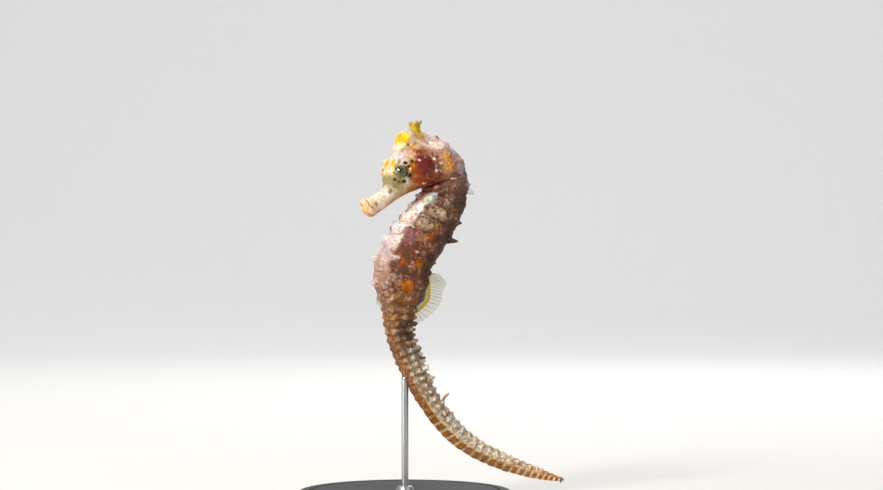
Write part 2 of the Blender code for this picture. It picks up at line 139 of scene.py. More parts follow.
def make_room():
    # Matt paper takes soft shadows and has no gloss.
    paper, _, _ = new_material("matt paper", Roughness=0.9, Base_Color=linear("#DAD8D4"))
    sweep = [(0.0, 0.0), (FLOOR_RADIUS, 0.0)]
    sweep += [(FLOOR_RADIUS + SWEEP_RADIUS * math.sin(a), SWEEP_RADIUS - SWEEP_RADIUS * math.cos(a))
              for a in np.linspace(0.1, math.pi / 2, 14)]
    sweep.append((FLOOR_RADIUS + SWEEP_RADIUS, WALL_HEIGHT))
    points, faces = turned(sweep, 96)
    floor = mesh_object("paper_floor", points, [face[::-1] for face in faces], paper)

    world = bpy.data.worlds.new("studio air")
    world.use_nodes = True
    sky = world.node_tree.nodes["Background"]
    sky.inputs["Color"].default_value = linear("#E4ECF6")
    sky.inputs["Strength"].default_value = 0.42
    bpy.context.scene.world = world

    #        name, colour, watts, metres across, where it stands, what it is turned to
    lamps = (("key", "#FFF4E6", 5.8, 0.22, (-0.36, -0.48, 0.50), (0.0, 0.0, 0.07)),
             ("low", "#FFF6EC", 2.0, 0.35, (-0.60, -0.30, 0.06), (0.0, 0.0, 0.05)),
             ("fill", "#DCE8FF", 1.0, 0.60, (0.55, -0.50, 0.30), (0.0, 0.0, 0.07)),
             ("rim", "#FFFFFF", 1.6, 0.45, (0.25, 0.60, 0.55), (0.0, 0.0, 0.07)),
             ("paper", "#F4F8FF", 12.0, 1.30, (0.0, 0.55, 1.05), (0.0, 1.55, 0.15)))
    for name, colour, watts, size, place, target in lamps:
        light = bpy.data.lights.new(name + " lamp", "AREA")
        light.energy = watts
        light.size = size
        light.color = linear(colour)[:3]
        lamp = bpy.data.objects.new(name + "_lamp", light)
        lamp.location = place
        aim = Vector(target) - lamp.location
        lamp.rotation_euler = aim.to_track_quat("-Z", "Y").to_euler()
        bpy.context.scene.collection.objects.link(lamp)

    camera = bpy.data.cameras.new("camera")
    camera.sensor_width = FILM_WIDTH
    camera.lens = FILM_WIDTH * CAMERA_DISTANCE / VIEW_WIDTH
    camera.clip_start = 0.01
    view = bpy.data.objects.new("camera", camera)
    view.location = (CAMERA_SIDE, -CAMERA_DISTANCE, CAMERA_HEIGHT)
    view.rotation_euler = (math.pi / 2, 0.0, 0.0)
    bpy.context.scene.collection.objects.link(view)
    bpy.context.scene.camera = view
    bpy.context.scene.view_settings.view_transform = "Standard"


make_room()

# ---------------------------------------------------------------------------------------------
# The base: a disc of close-grained wood, turned on a lathe, stained black and waxed. A fine
# groove runs inside its rim, and the rod stands in a blind hole in its middle.
BASE_LOW, BASE_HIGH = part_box("stand_base")
BASE_SEGMENTS = 160
UNDER_EDGE_ROUNDING = 0.5 * MM
RIM_ROUNDING = 1.0 * MM
GROOVE_INSET = 3.4 * MM  # from the rim to the middle of the groove
GROOVE_DEPTH = 0.35 * MM
GROOVE_TOP_HALF = 0.35 * MM  # half widths
GROOVE_FLOOR_HALF = 0.2 * MM
HOLE_RADIUS = 1.15 * MM
HOLE_ROUNDING = 0.25 * MM
HOLE_FLOOR = 2.0 * MM  # above the underside


def rounded(corner, before, after, radius, steps=5):
    """A profile corner rounded off: points on a curve from the way in to the way out."""
    corner, before, after = Vector(corner), Vector(before), Vector(after)
    start = corner + (before - corner).normalized() * radius
    end = corner + (after - corner).normalized() * radius
    curve = []
    for step in range(steps + 1):
        t = step / steps
        curve.append(tuple(start * (1 - t) ** 2 + corner * (2 * t * (1 - t)) + end * t * t))
    return curve


def make_base():
    radius = (BASE_HIGH.x - BASE_LOW.x) / 2
    top = BASE_HIGH.z
    groove, groove_floor = radius - GROOVE_INSET, top - GROOVE_DEPTH
    profile = [(0.0, 0.0)]
    profile += rounded((radius, 0.0), (0.0, 0.0), (radius, top), UNDER_EDGE_ROUNDING)
    profile += rounded((radius, top), (radius, 0.0), (0.0, top), RIM_ROUNDING, 8)
    profile += [(groove + GROOVE_TOP_HALF, top), (groove + GROOVE_FLOOR_HALF, groove_floor),
                (groove - GROOVE_FLOOR_HALF, groove_floor), (groove - GROOVE_TOP_HALF, top)]
    profile += rounded((HOLE_RADIUS, top), (radius, top), (HOLE_RADIUS, 0.0), HOLE_ROUNDING)
    profile += [(HOLE_RADIUS, HOLE_FLOOR), (0.0, HOLE_FLOOR)]
    points, faces = turned(profile, BASE_SEGMENTS)

    wood, tree, shader = new_material("black stained beech", Roughness=0.45, IOR=1.3)
    # Growth lines 1.4 mm apart run across the disc and show faintly through the stain.
    place = add(tree, "TexCoord").outputs["Object"]
    grain_place = add(tree, "Mapping", {"Vector": place, "Scale": (110.0, 715.0, 300.0)})
    grain = add(tree, "TexNoise", {"Vector": grain_place.outputs[0], "Scale": 1.0, "Detail": 5.0,
                                   "Distortion": 0.6})
    tone = add(tree, "ValToRGB", {"Fac": grain.outputs[0]},
               stops=((0.35, "#08080A"), (0.72, "#1D1A1A")))
    rough = add(tree, "MapRange", {"Value": grain.outputs[0], "To Min": 0.38, "To Max": 0.55})
    pores = add(tree, "Bump", {"Height": grain.outputs[0], "Strength": 0.25, "Distance": 0.05 * MM})
    tree.links.new(tone.outputs[0], shader.inputs["Base Color"])
    tree.links.new(rough.outputs[0], shader.inputs["Roughness"])
    tree.links.new(pores.outputs[0], shader.inputs["Normal"])

    base = mesh_object("stand_base_turned", points, faces, wood)
    base.data.set_sharp_from_angle(angle=math.radians(50))
    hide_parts("stand_base")
    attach(base, "root")


make_base()

# ---------------------------------------------------------------------------------------------
# The rod: drawn steel 2 mm thick, brushed along its length, pressed into the base through a
# small turned collar and rounded off where it meets the tail.
ROD_LOW, ROD_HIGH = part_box("stand_rod")
ROD_RADIUS = (ROD_HIGH.x - ROD_LOW.x) / 2 - 0.02 * MM
ROD_TOP = ROD_HIGH.z - 0.25 * MM
ROD_SEGMENTS = 40
COLLAR_SEGMENTS = 64
COLLAR_RADIUS = 2.1 * MM
COLLAR_FLARE = 0.5 * MM  # how much wider it is at its foot
COLLAR_HEIGHT = 1.3 * MM
COLLAR_LIFT = 0.02 * MM
COLLAR_PLAY = 0.05 * MM  # between the rod and the ring round it


def brushed_steel():
    """Drawn steel, with a sheen that runs along the rod."""
    steel, tree, shader = new_material("brushed stainless steel", Metallic=1.0, Roughness=0.3)
    # Brush lines 0.15 mm apart, drawn along the rod.
    place = add(tree, "TexCoord").outputs["Object"]
    brushed = add(tree, "Mapping", {"Vector": place, "Scale": (6600.0, 6600.0, 90.0)})
    lines = add(tree, "TexNoise", {"Vector": brushed.outputs[0], "Scale": 1.0, "Detail": 2.0})
    tone = add(tree, "ValToRGB", {"Fac": lines.outputs[0]},
               stops=((0.0, "#8E9094"), (1.0, "#C9CBCE")))
    rough = add(tree, "MapRange", {"Value": lines.outputs[0], "To Min": 0.2, "To Max": 0.42})
    tree.links.new(tone.outputs[0], shader.inputs["Base Color"])
    tree.links.new(rough.outputs[0], shader.inputs["Roughness"])
    return steel


def make_rod(steel):
    dome = ROD_TOP - ROD_RADIUS
    profile = [(0.0, ROD_LOW.z), (ROD_RADIUS, ROD_LOW.z)]
    profile += [(ROD_RADIUS, z) for z in np.linspace(ROD_LOW.z + MM, dome, 20)]
    profile += [(ROD_RADIUS * math.cos(a), dome + ROD_RADIUS * math.sin(a))
                for a in np.linspace(0.2, 1.4, 8)]
    profile.append((0.0, ROD_TOP))
    points, faces = turned(profile, ROD_SEGMENTS)
    rod = mesh_object("stand_rod_drawn", points, faces, steel)
    rod.data.set_sharp_from_angle(angle=math.radians(50))
    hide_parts("stand_rod")
    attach(rod, "root")


def make_collar(steel):
    foot, low, high = BASE_HIGH.z, BASE_HIGH.z + COLLAR_LIFT, BASE_HIGH.z + COLLAR_HEIGHT
    inner, outer = ROD_RADIUS + COLLAR_PLAY, COLLAR_RADIUS
    profile = [(inner, low)]
    profile += rounded((outer + COLLAR_FLARE, low), (0.0, foot), (outer, high), 0.2 * MM)
    profile += rounded((outer, high), (outer, foot), (0.0, high), 0.4 * MM)
    profile += [(inner, high), (inner, low)]
    points, faces = turned(profile, COLLAR_SEGMENTS)
    collar = mesh_object("stand_collar", points, faces, steel)
    collar.data.set_sharp_from_angle(angle=math.radians(50))
    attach(collar, "root")


STEEL = brushed_steel()
make_rod(STEEL)
make_collar(STEEL)

# ---------------------------------------------------------------------------------------------
# The body: one skin from the lips to the tip of the tail, stretched over the bony rings that a
# seahorse has in place of scales. It is a loft of flat sections, finer than the eye can part,
# then raised into ridges, knobs, plates and granules.
FACING = math.radians(30)
AXES = np.array((
    (-math.cos(FACING), -math.sin(FACING), 0.0),
    (math.sin(FACING), -math.cos(FACING), 0.0),
    (0.0, 0.0, 1.0),
))

# Head, neck and trunk: belly forward, belly up, back forward, back up, half width, lean,
# squareness.
CHORDS = (
    (11.7, 81.8, 13.9, 85.8, 1.90, 0.0, 2.0),
    (10.8, 81.3, 13.2, 86.7, 2.50, 0.0, 2.0),
    (9.2, 82.3, 11.1, 86.9, 2.15, 0.0, 2.0),
    (7.7, 83.3, 9.5, 87.7, 2.05, 0.0, 2.0),
    (6.2, 84.2, 7.8, 88.8, 2.15, 0.0, 2.1),
    (4.7, 85.3, 6.3, 90.6, 2.60, 0.0, 2.2),
    (3.0, 86.4, 5.5, 94.0, 3.40, 0.0, 2.3),
    (1.2, 87.4, 4.35, 97.4, 3.95, 0.10, 2.3),
    (-0.6, 88.2, 3.05, 100.9, 4.30, 0.20, 2.2),
    (-2.4, 88.8, 2.15, 104.5, 4.55, 0.32, 2.1),
    (-4.0, 89.4, -1.9, 106.5, 4.80, 0.40, 2.1),
    (-5.3, 89.9, -6.2, 105.3, 5.00, 0.30, 2.1),
    (-6.2, 90.4, -10.5, 103.6, 5.10, 0.15, 2.1),
    (-6.8, 90.7, -14.4, 101.4, 4.90, 0.05, 2.1),
    (-7.1, 90.6, -17.7, 97.9, 4.70, 0.0, 2.2),
    (-7.0, 90.2, -19.4, 92.8, 4.75, 0.0, 2.3),
    (-5.6, 88.4, -18.9, 86.2, 5.00, 0.0, 2.4),
    (-2.8, 85.2, -16.0, 79.4, 5.35, 0.0, 2.5),
    (2.2, 80.0, -11.2, 72.2, 5.70, 0.0, 2.5),
    (5.8, 75.0, -7.8, 67.9, 5.75, 0.0, 2.5),
    (8.5, 70.0, -6.9, 65.6, 5.80, 0.0, 2.5),
    (9.4, 63.9, -6.4, 63.2, 5.70, 0.0, 2.5),
    (7.5, 59.9, -5.2, 59.7, 4.95, 0.0, 2.8),
    (6.1, 56.8, -2.2, 56.4, 3.75, 0.0, 4.0),
)
HEAD_END = 11.2  # the row of CHORDS where the first bony ring begins

# The tail's middle line: forward, left, up.
TAIL_ROUTE = (
    (1.95, 0.0, 56.6),
    (1.7, 0.0, 48.8),
    (-0.9, 1.1, 41.0),
    (-4.4, 2.5, 33.0),
    (-9.9, 4.6, 24.4),
    (-16.6, 7.2, 17.8),
    (-25.7, 10.8, 12.7),
    (-35.9, 14.9, 8.9),
    (-41.6, 17.1, 7.3),
)
TAIL_HALF_SIDES = (3.75, 2.95, 2.80, 2.55, 2.40, 2.30, 2.15, 1.95, 1.65, 1.2, 0.4)
TAIL_TWIST = math.radians(40)
RING_STEPS = (2.1, 2.3, 2.7, 2.3, 1.4)  # relative height of the tail's rings, at even steps
TRUNK_RINGS = 11
TAIL_RINGS = 35

HEAD_STEP = 0.25
HEAD_RING = 4.0  # millimetres of the crown that count as one ring
TRUNK_STATIONS = 20  # sections in each ring
TAIL_STATIONS = 11
BODY_SIDES = 144
TAIL_SIDES = 96
FINE_STEPS = 600
SMOOTHING_PASSES = 12


def in_world(points):
    """Points given as forward, left, up in millimetres, in metres in the world."""
    return np.asarray(points, float) @ AXES * MM


def eased(rows, places):
    """A smooth curve through the rows, read at places counted in rows."""
    rows = np.asarray(rows, float)
    rows = rows.reshape(len(rows), -1)
    places = np.clip(np.atleast_1d(places), 0.0, len(rows) - 1.0)
    index = np.minimum(places.astype(int), len(rows) - 2)
    t = (places - index)[:, None]
    before, here = rows[np.maximum(index - 1, 0)], rows[index]
    ahead, beyond = rows[index + 1], rows[np.minimum(index + 2, len(rows) - 1)]
    return 0.5 * (2 * here + (ahead - before) * t
                  + (2 * before - 5 * here + 4 * ahead - beyond) * t ** 2
                  + (3 * here - before - 3 * ahead + beyond) * t ** 3)


def eased_over(rows, shares):
    """The same curve, read at shares of its whole run."""
    return eased(rows, shares * (len(rows) - 1))


def unit(vectors):
    return vectors / np.linalg.norm(vectors, axis=-1, keepdims=True)


def lengths_along(points):
    steps = np.linalg.norm(np.diff(points, axis=0), axis=1)
    return np.concatenate(([0.0], np.cumsum(steps)))


def chord_sections(rows):
    """Columns for each row: centre, back, left, depth, width, lean, squareness (13 in all)."""
    values = eased(CHORDS, rows)
    zero = np.zeros(len(values))
    belly = np.stack((values[:, 0], zero, values[:, 1]), axis=1)
    back = np.stack((values[:, 2], zero, values[:, 3]), axis=1)
    depth = np.linalg.norm(back - belly, axis=1) / 2
    left = np.tile((0.0, 1.0, 0.0), (len(values), 1))
    return np.column_stack(((belly + back) / 2, unit(back - belly), left, depth, values[:, 4:7]))


def tail_sections(rings):
    """The same columns for the tail, at places counted in its rings."""
    heights = eased_over(RING_STEPS, (np.arange(TAIL_RINGS) + 0.5) / TAIL_RINGS)
    reached = np.concatenate(([0.0], np.cumsum(heights)))
    fraction = np.interp(rings, np.arange(TAIL_RINGS + 1), reached / reached[-1])
    dense = np.linspace(0.0, len(TAIL_ROUTE) - 1.0, 241)
    route = eased(TAIL_ROUTE, dense)
    travelled = lengths_along(route)
    along = unit(np.gradient(route, axis=0))
    # The left direction is carried down the tail without twisting.
    lefts = []
    left, before = Vector((0.0, 1.0, 0.0)), Vector((0.0, 0.0, -1.0))
    for way in along:
        way = Vector(way)
        left = before.rotation_difference(way) @ left
        left = (left - way * left.dot(way)).normalized()
        lefts.append(tuple(left))
        before = way
    place = fraction * travelled[-1]
    centre = np.stack([np.interp(place, travelled, column) for column in route.T], axis=1)
    along = unit(np.stack([np.interp(place, travelled, column) for column in along.T], axis=1))
    left = np.stack([np.interp(place, travelled, column) for column in np.array(lefts).T], axis=1)
    across = np.cross(left, along)
    turn = (TAIL_TWIST * fraction ** 2)[:, None]
    left = unit(left * np.cos(turn) + across * np.sin(turn))
    half = eased_over(TAIL_HALF_SIDES, fraction)[:, 0]
    start = np.maximum(0.0, 1.0 - fraction * 12)
    depth = half * (1.0 + 0.12 * start)
    squareness = 5.0 - start
    return np.column_stack((
        centre, unit(np.cross(left, along)), left, depth, half, np.zeros(len(half)), squareness,
    ))


def body_stations():
    """All sections from the lips to the tail's tip, and the ring that each one belongs to."""
    rows = np.linspace(0.0, HEAD_END, FINE_STEPS)
    edges = eased(CHORDS, rows)
    crown = lengths_along(edges[:, 2:4])
    places = np.linspace(0.0, crown[-1], int(crown[-1] / HEAD_STEP) + 1)
    head_rows = np.interp(places, crown, rows)
    head_ring = -(crown[-1] - places) / HEAD_RING

    rows = np.linspace(HEAD_END, len(CHORDS) - 1.0, FINE_STEPS)
    middle = lengths_along(chord_sections(rows)[:, :3])
    trunk_ring = np.linspace(0.0, TRUNK_RINGS, TRUNK_RINGS * TRUNK_STATIONS + 1)
    trunk_rows = np.interp(trunk_ring / TRUNK_RINGS * middle[-1], middle, rows)
    tail_ring = np.linspace(0.0, TAIL_RINGS, TAIL_RINGS * TAIL_STATIONS + 1)
    columns = np.vstack((
        chord_sections(head_rows), chord_sections(trunk_rows[1:]), tail_sections(tail_ring[1:]),
    ))
    # A light smoothing takes out the small jumps in curvature at each row.
    for _ in range(SMOOTHING_PASSES):
        columns[1:-1] = columns[1:-1] * 0.5 + (columns[:-2] + columns[2:]) * 0.25
    columns[:, 3:6] = unit(columns[:, 3:6])
    columns[:, 6:9] = unit(columns[:, 6:9])
    ring = np.concatenate((head_ring, trunk_ring[1:], TRUNK_RINGS + tail_ring[1:]))
    return columns, ring, len(head_rows) + len(trunk_rows) - 2


def outline(column, angles):
    """Points of one section at these angles, measured from the back over the left side."""
    centre, back, left = column[:3], column[3:6], column[6:9]
    depth, width, lean, power = column[9:13]
    across, aside = np.cos(angles), np.sin(angles)
    reach = (np.abs(across) ** power + np.abs(aside) ** power) ** (-1.0 / power)
    return (centre + np.outer(depth * reach * across, back)
            + np.outer(width * reach * aside * (1.0 - lean * across), left))


def spread_angles(column, sides, crowd):
    """Angles round one section that set its points at even steps, closer where crowd asks."""
    angles = np.linspace(0.0, 2 * math.pi, 721)
    points = outline(column, angles)
    middles = (points[1:] + points[:-1]) / 2
    steps = np.linalg.norm(np.diff(points, axis=0), axis=1)
    weighed = np.concatenate(([0.0], np.cumsum(steps * crowd(middles))))
    return np.interp(np.arange(sides) / sides * weighed[-1], weighed, angles)


EYE_PLACE = np.array((3.55, 3.55, 94.1))  # forward, left, up
EYE_RADIUS = 1.95


def from_side(places, forward, up):
    """Millimetres from each point to this place forward and up, as seen from the side."""
    return np.hypot(places[..., 0] - forward, places[..., 2] - up)


def from_eye(places):
    return from_side(places, EYE_PLACE[0], EYE_PLACE[2])


def crowd_near_eyes(places):
    """More points of the skin near the eyes, where the lids need them."""
    return 1.0 + 1.3 * np.exp(-(from_eye(places) / 3.2) ** 4)


class Skin:
    """A stretch of skin as a grid, stations along it by points round it."""

    def __init__(self, columns, ring, sides):
        self.ring = ring
        self.angle = np.array([spread_angles(c, sides, crowd_near_eyes) for c in columns])
        self.from_back = np.minimum(self.angle, 2 * math.pi - self.angle)
        self.place = np.array([outline(c, a) for c, a in zip(columns, self.angle)])
        self.half = columns[:, 10]
        closed = np.concatenate((self.place, self.place[:, :1]), axis=1)
        steps = np.linalg.norm(np.diff(closed, axis=1), axis=2)
        self.arc = np.concatenate((np.zeros((len(steps), 1)), np.cumsum(steps, axis=1)), axis=1)
        self.round = self.arc[:, -1]
        self.arc = self.arc[:, :-1]
        self.per_ring = np.linalg.norm(np.gradient(self.place, ring, axis=0), axis=2)
        self.spacing = np.linalg.norm(np.gradient(self.place, axis=0), axis=2)
        along = np.gradient(self.place, axis=0)
        wrapped = np.concatenate((self.place[:, -1:], self.place, self.place[:, :1]), axis=1)
        self.normal = unit(np.cross(wrapped[:, 2:] - wrapped[:, :-2], along))
        self.grid_ring = np.repeat(ring[:, None], sides, axis=1)

    def from_angle(self, degrees):
        """Millimetres round the skin from the line at this angle, at every point."""
        target = math.radians(degrees)
        found = np.empty_like(self.arc)
        for i in range(len(self.arc)):
            at = np.interp(target, np.append(self.angle[i], 2 * math.pi),
                           np.append(self.arc[i], self.round[i]))
            gap = np.abs(self.arc[i] - at)
            found[i] = np.minimum(gap, self.round[i] - gap)
        return found

    def from_pair(self, degrees):
        """The same from the nearer of two lines, this far from the back on the left and right."""
        return np.minimum(self.from_angle(degrees), self.from_angle(360 - degrees))

    def from_crest(self):
        """Millimetres along the skin from the middle of the ring that each point lies in."""
        return (self.grid_ring - np.floor(self.grid_ring) - 0.5) * self.per_ring

    def from_border(self):
        """Millimetres along the skin from the nearest border between two rings."""
        return np.abs(self.grid_ring - np.round(self.grid_ring)) * self.per_ring


def smooth_step(values, low, high):
    t = np.clip((values - low) / (high - low), 0.0, 1.0)
    return t * t * (3.0 - 2.0 * t)


def hill(distance, radius, power=2.0):
    return np.exp(-(np.abs(distance) / radius) ** power)


def sampled(measure, places):
    """A noise read at every point of a grid."""
    flat = places.reshape(-1, 3)
    return np.array([measure(Vector(point)) for point in flat]).reshape(places.shape[:-1])


def distance_to_line(places, line):
    """Millimetres from each point to a chain of (forward, up) points, seen from the side."""
    flat = places[..., (0, 2)]
    nearest = np.full(flat.shape[:-1], 1e3)
    for start, end in zip(np.array(line[:-1], float), np.array(line[1:], float)):
        way = end - start
        t = np.clip(((flat - start) @ way) / (way @ way), 0.0, 1.0)
        nearest = np.minimum(nearest, np.linalg.norm(flat - start - t[..., None] * way, axis=-1))
    return nearest


# Ridges of the body: degrees round from the back, height and radius of their knobs, millimetres.
TRUNK_KNOBS = ((45, 0.62, 0.80), (90, 0.55, 0.75), (135, 0.90, 0.85),
               (225, 0.90, 0.85), (270, 0.55, 0.75), (315, 0.62, 0.80))
TAIL_KNOBS = ((45, 0.75, 0.75), (90, 0.42, 0.80), (135, 0.28, 0.75),
              (225, 0.28, 0.75), (270, 0.42, 0.80), (315, 0.75, 0.75))
# Knobs down the middle of the belly: ring, height, radius.
BELLY_KNOBS = ((3, 0.4, 0.8), (4, 0.5, 0.8), (5, 0.6, 0.8), (6, 1.2, 1.2), (7, 1.5, 1.3),
               (8, 1.5, 1.3), (9, 0.9, 1.5))
KNOB_VARIETY = (0.7, 1.25)
MOST_RINGS = 60  # more than there are: one size is drawn for the knob of each
RING_SWELL = 0.12  # how far the middle of a ring stands out over its borders
LUMP_SPACING = 2.4
LUMP_HEIGHT = 0.12
RIDGE_HEIGHT = 0.20
RIDGE_RADIUS = 0.55
GROOVE_RADIUS = 0.24
FULL_HALF_WIDTH = 3.0  # where the tail is thinner than this, its ridges and knobs are smaller
DORSAL_FIN_RINGS = (8.2, 11.4)
FIN_FOOT_HEIGHT = 0.8

ORBIT = (3.8, 94.7, 3.3, 1.15)  # forward, up, radius, height
GILL_SWELLING = (-3.0, 95.6, 4.2, 0.55)
GILL_CENTRE = (-2.9, 95.6)
GILL_RADII = (3.1, 4.2)
GILL_DOME = 0.42
GILL_RIBS = 22  # in a whole turn
GILL_RIB_HEIGHT = 0.045
GILL_SLIT = (1.07, 0.075, 0.38)  # place and half width as shares of the cover, depth
SOCKET_RIM = (2.75, 0.5, 0.22)  # radius, half width, height
SOCKET_DEPTH = 0.45
LID_RADIUS = 1.92
LID_FOOT_RADIUS = 2.12
# Raised lines of the head's bones: points as forward and up, half width, height.
HEAD_RIDGES = (
    (((4.6, 97.2), (3.4, 99.8), (1.0, 102.6), (-1.6, 104.6)), 0.8, 0.28),
    (((0.9, 96.9), (-0.8, 99.6), (-4.0, 101.2), (-8.0, 100.8), (-11.5, 99.0)), 0.8, 0.30),
    (((6.2, 90.2), (3.0, 89.6), (-0.5, 90.6), (-3.6, 90.6)), 0.6, 0.22),
    (((1.2, 94.3), (0.2, 95.2)), 0.6, 0.2),
    (((13.3, 87.0), (12.6, 85.6), (11.7, 83.9)), 0.16, -0.16),
    (((10.9, 85.6), (10.3, 84.9)), 0.35, 0.14),
)


def ring_relief(skin, knobs, groove):
    """Ridges, knobs and grooves of the bony rings in millimetres, and where the knobs are, 0 to 1."""
    on_body = smooth_step(skin.grid_ring, -0.7, 0.9)
    phase = skin.grid_ring - np.floor(skin.grid_ring)
    wave = np.sin(math.pi * phase) ** 2
    along = skin.from_crest()
    thin = np.clip(skin.half / FULL_HALF_WIDTH, 0.25, 1.0)[:, None]
    draws = np.random.default_rng(7)
    # Towards its end the tail is smooth underneath: its rings show there only as colour.
    flat = smooth_step(skin.grid_ring, 18.0, 25.0) * smooth_step(skin.from_back, 1.9, 2.3)
    height = RING_SWELL * wave * (1.0 - 0.8 * flat)
    # Where the tail begins, pebbled skin hides the grooves.
    soft = smooth_step(skin.grid_ring, 9.5, 11.0) * (1.0 - smooth_step(skin.grid_ring, 20.0, 24.0))
    numbered = np.clip(np.floor(skin.grid_ring).astype(int), 0, MOST_RINGS - 1)
    tops = np.zeros_like(height)
    for degrees, size, radius in knobs:
        aside = skin.from_angle(degrees)
        vary = draws.uniform(*KNOB_VARIETY, MOST_RINGS)[numbered]
        away = np.hypot(aside, along) / (radius * thin)
        knob = hill(away, 1.0, 2.4) * smooth_step(wave, 0.0, 0.3)
        # A ridge dips between two rings, less where the skin is smooth or soft.
        rise = 1.0 - (1.0 - wave) * np.clip(0.65 - 0.5 * flat - 0.3 * soft, 0.1, 1.0)
        if degrees in (45, 315):
            # The knobs beside the back fade out down the tail.
            knob = knob * (1.0 - 0.8 * smooth_step(skin.grid_ring, 22.0, 27.0))
        ridge = RIDGE_HEIGHT * thin * hill(aside, RIDGE_RADIUS * thin) * rise
        height = height + ridge + size * thin * vary * knob * (1.0 - 0.55 * flat)
        tops = np.maximum(tops, knob)
    for number, size, radius in BELLY_KNOBS:
        away = np.hypot(skin.from_angle(180), (skin.grid_ring - number - 0.5) * skin.per_ring)
        knob = hill(away / radius, 1.0, 3.0)
        height = height + size * knob
        tops = np.maximum(tops, knob)
    belly = smooth_step(skin.grid_ring, 5.0, 6.0) * (1.0 - smooth_step(skin.grid_ring, 9.0, 10.0))
    belly *= hill(skin.from_angle(180), 5.0, 4)
    height += belly * (0.45 * (tops - 0.5) - 0.35 * (1.0 - wave))
    carved = hill(skin.from_border(), GROOVE_RADIUS)
    height -= groove * carved * (1.0 - 0.75 * flat) * (1.0 - 0.55 * soft)
    return height * on_body, tops * on_body


def fin_foot(skin):
    """The low fleshy wall along the back that carries the dorsal fin."""
    start, end = DORSAL_FIN_RINGS
    span = smooth_step(skin.grid_ring, start - 0.35, start + 0.1)
    span *= 1.0 - smooth_step(skin.grid_ring, end - 0.05, end + 0.35)
    return FIN_FOOT_HEIGHT * span * hill(skin.from_angle(0.0), 0.5, 4)


def granules(places, spacing):
    """Round bumps of the skin, side by side, from 0 to 1."""
    def bump(point):
        first = noise.voronoi(point)[0][0]
        return max(0.0, 1.0 - (first / 0.55) ** 2)

    return sampled(bump, places / spacing)


def head_relief(skin):
    """Bones of the head under the skin: ridges, the gill cover and the rim of the eye socket."""
    places = skin.place
    side = smooth_step(np.abs(places[..., 1]), 0.8, 2.4)
    height = np.zeros(places.shape[:2])
    for line, half_width, rise in HEAD_RIDGES:
        height += rise * hill(distance_to_line(places, line), half_width) * side
    forward = (places[..., 0] - GILL_CENTRE[0]) / GILL_RADII[0]
    up = (places[..., 2] - GILL_CENTRE[1]) / GILL_RADII[1]
    radius = np.hypot(forward, up)
    # The cover is a low dome with fine ribs fanning out, and it is free along its hind edge.
    fan = np.arctan2(up, forward - 0.75)
    ribs = GILL_RIB_HEIGHT * np.cos(fan * GILL_RIBS) * smooth_step(radius, 0.15, 0.4)
    dome = GILL_DOME * np.clip(1.0 - radius ** 2, 0.0, 1.0) ** 0.5 + ribs * (radius < 0.96)
    hind = smooth_step(-forward, -0.35, 0.35)
    slit_place, slit_width, slit_depth = GILL_SLIT
    slit = -slit_depth * hill(radius - slit_place, slit_width) * hind
    height += (dome * (radius < 1.0) + slit) * side
    rim_radius, rim_width, rim_height = SOCKET_RIM
    height += rim_height * hill(from_eye(places) - rim_radius, rim_width) * side
    return height * (skin.grid_ring < 1.0)


def swollen(places):
    """Points of the head moved out sideways over the eyeballs and the gills."""
    moved = places.copy()
    side = np.sign(places[..., 1]) * smooth_step(np.abs(places[..., 1]), 0.0, 1.0)
    for forward, up, radius, height in (ORBIT, GILL_SWELLING):
        away = from_side(places, forward, up) / radius
        moved[..., 1] += side * height * np.exp(-away ** 4)
    return moved


def sunk_round_eyes(places):
    """The skin drawn in under the eyeballs, so that they sit in sockets."""
    moved = places.copy()
    away = from_eye(places)
    ball = EYE_PLACE[1] + np.sqrt(np.clip(EYE_RADIUS ** 2 - away ** 2, 0.0, None)) - SOCKET_DEPTH
    inside = (away < LID_RADIUS) & (np.abs(places[..., 1]) > 1.5)
    moved[..., 1] = np.where(inside, np.sign(places[..., 1]) * ball, places[..., 1])
    return moved


def raised(skin, knobs, groove, granule_height, granule_spacing):
    """The finished places of a stretch of skin, its height over the plain loft, knobs, granules."""
    height, tops = ring_relief(skin, knobs, groove)
    height += fin_foot(skin)
    bumps = granules(skin.place, granule_spacing)
    lumps = sampled(noise.noise, skin.place / LUMP_SPACING)
    on_body = smooth_step(skin.grid_ring, -1.5, 0.5)
    height += granule_height * bumps * (0.25 + 0.75 * on_body)
    height += LUMP_HEIGHT * lumps * smooth_step(skin.grid_ring, -6.0, 0.0)
    height += head_relief(skin)
    # Where the sections crowd together in the crook of the throat, the skin stays plain.
    height *= smooth_step(skin.spacing, 0.03, 0.16)
    places = skin.place + skin.normal * height[..., None]
    return sunk_round_eyes(swollen(places)), height, tops, bumps


# The lips: how much of the last section is left, how far out, and how far up it sits.
LIPS = ((0.04, -0.50, 0.78), (0.10, -0.42, 0.76), (0.17, -0.05, 0.72), (0.26, 0.22, 0.62),
        (0.45, 0.36, 0.45), (0.68, 0.38, 0.28), (0.86, 0.30, 0.12), (0.95, 0.17, 0.04))
TIP = ((0.85, 0.18), (0.55, 0.34))


def closing_rows(skin, places, index, steps):
    """Ever smaller rows beyond one end of a stretch: share of the size, out and up."""
    rim = places[index]
    middle = rim.mean(axis=0)
    beyond = unit(skin.place[index].mean(axis=0) - skin.place[1 if index == 0 else -2].mean(axis=0))
    back = unit(rim[0] - middle)
    return [middle + (rim - middle) * share + beyond * out + back * up for share, out, up in steps]


def band(first, second, count):
    """The faces between two closed rows of points, whose first points have these numbers."""
    turns = [(j, (j + 1) % count) for j in range(count)]
    return [(first + j, first + k, second + k, second + j) for j, k in turns]


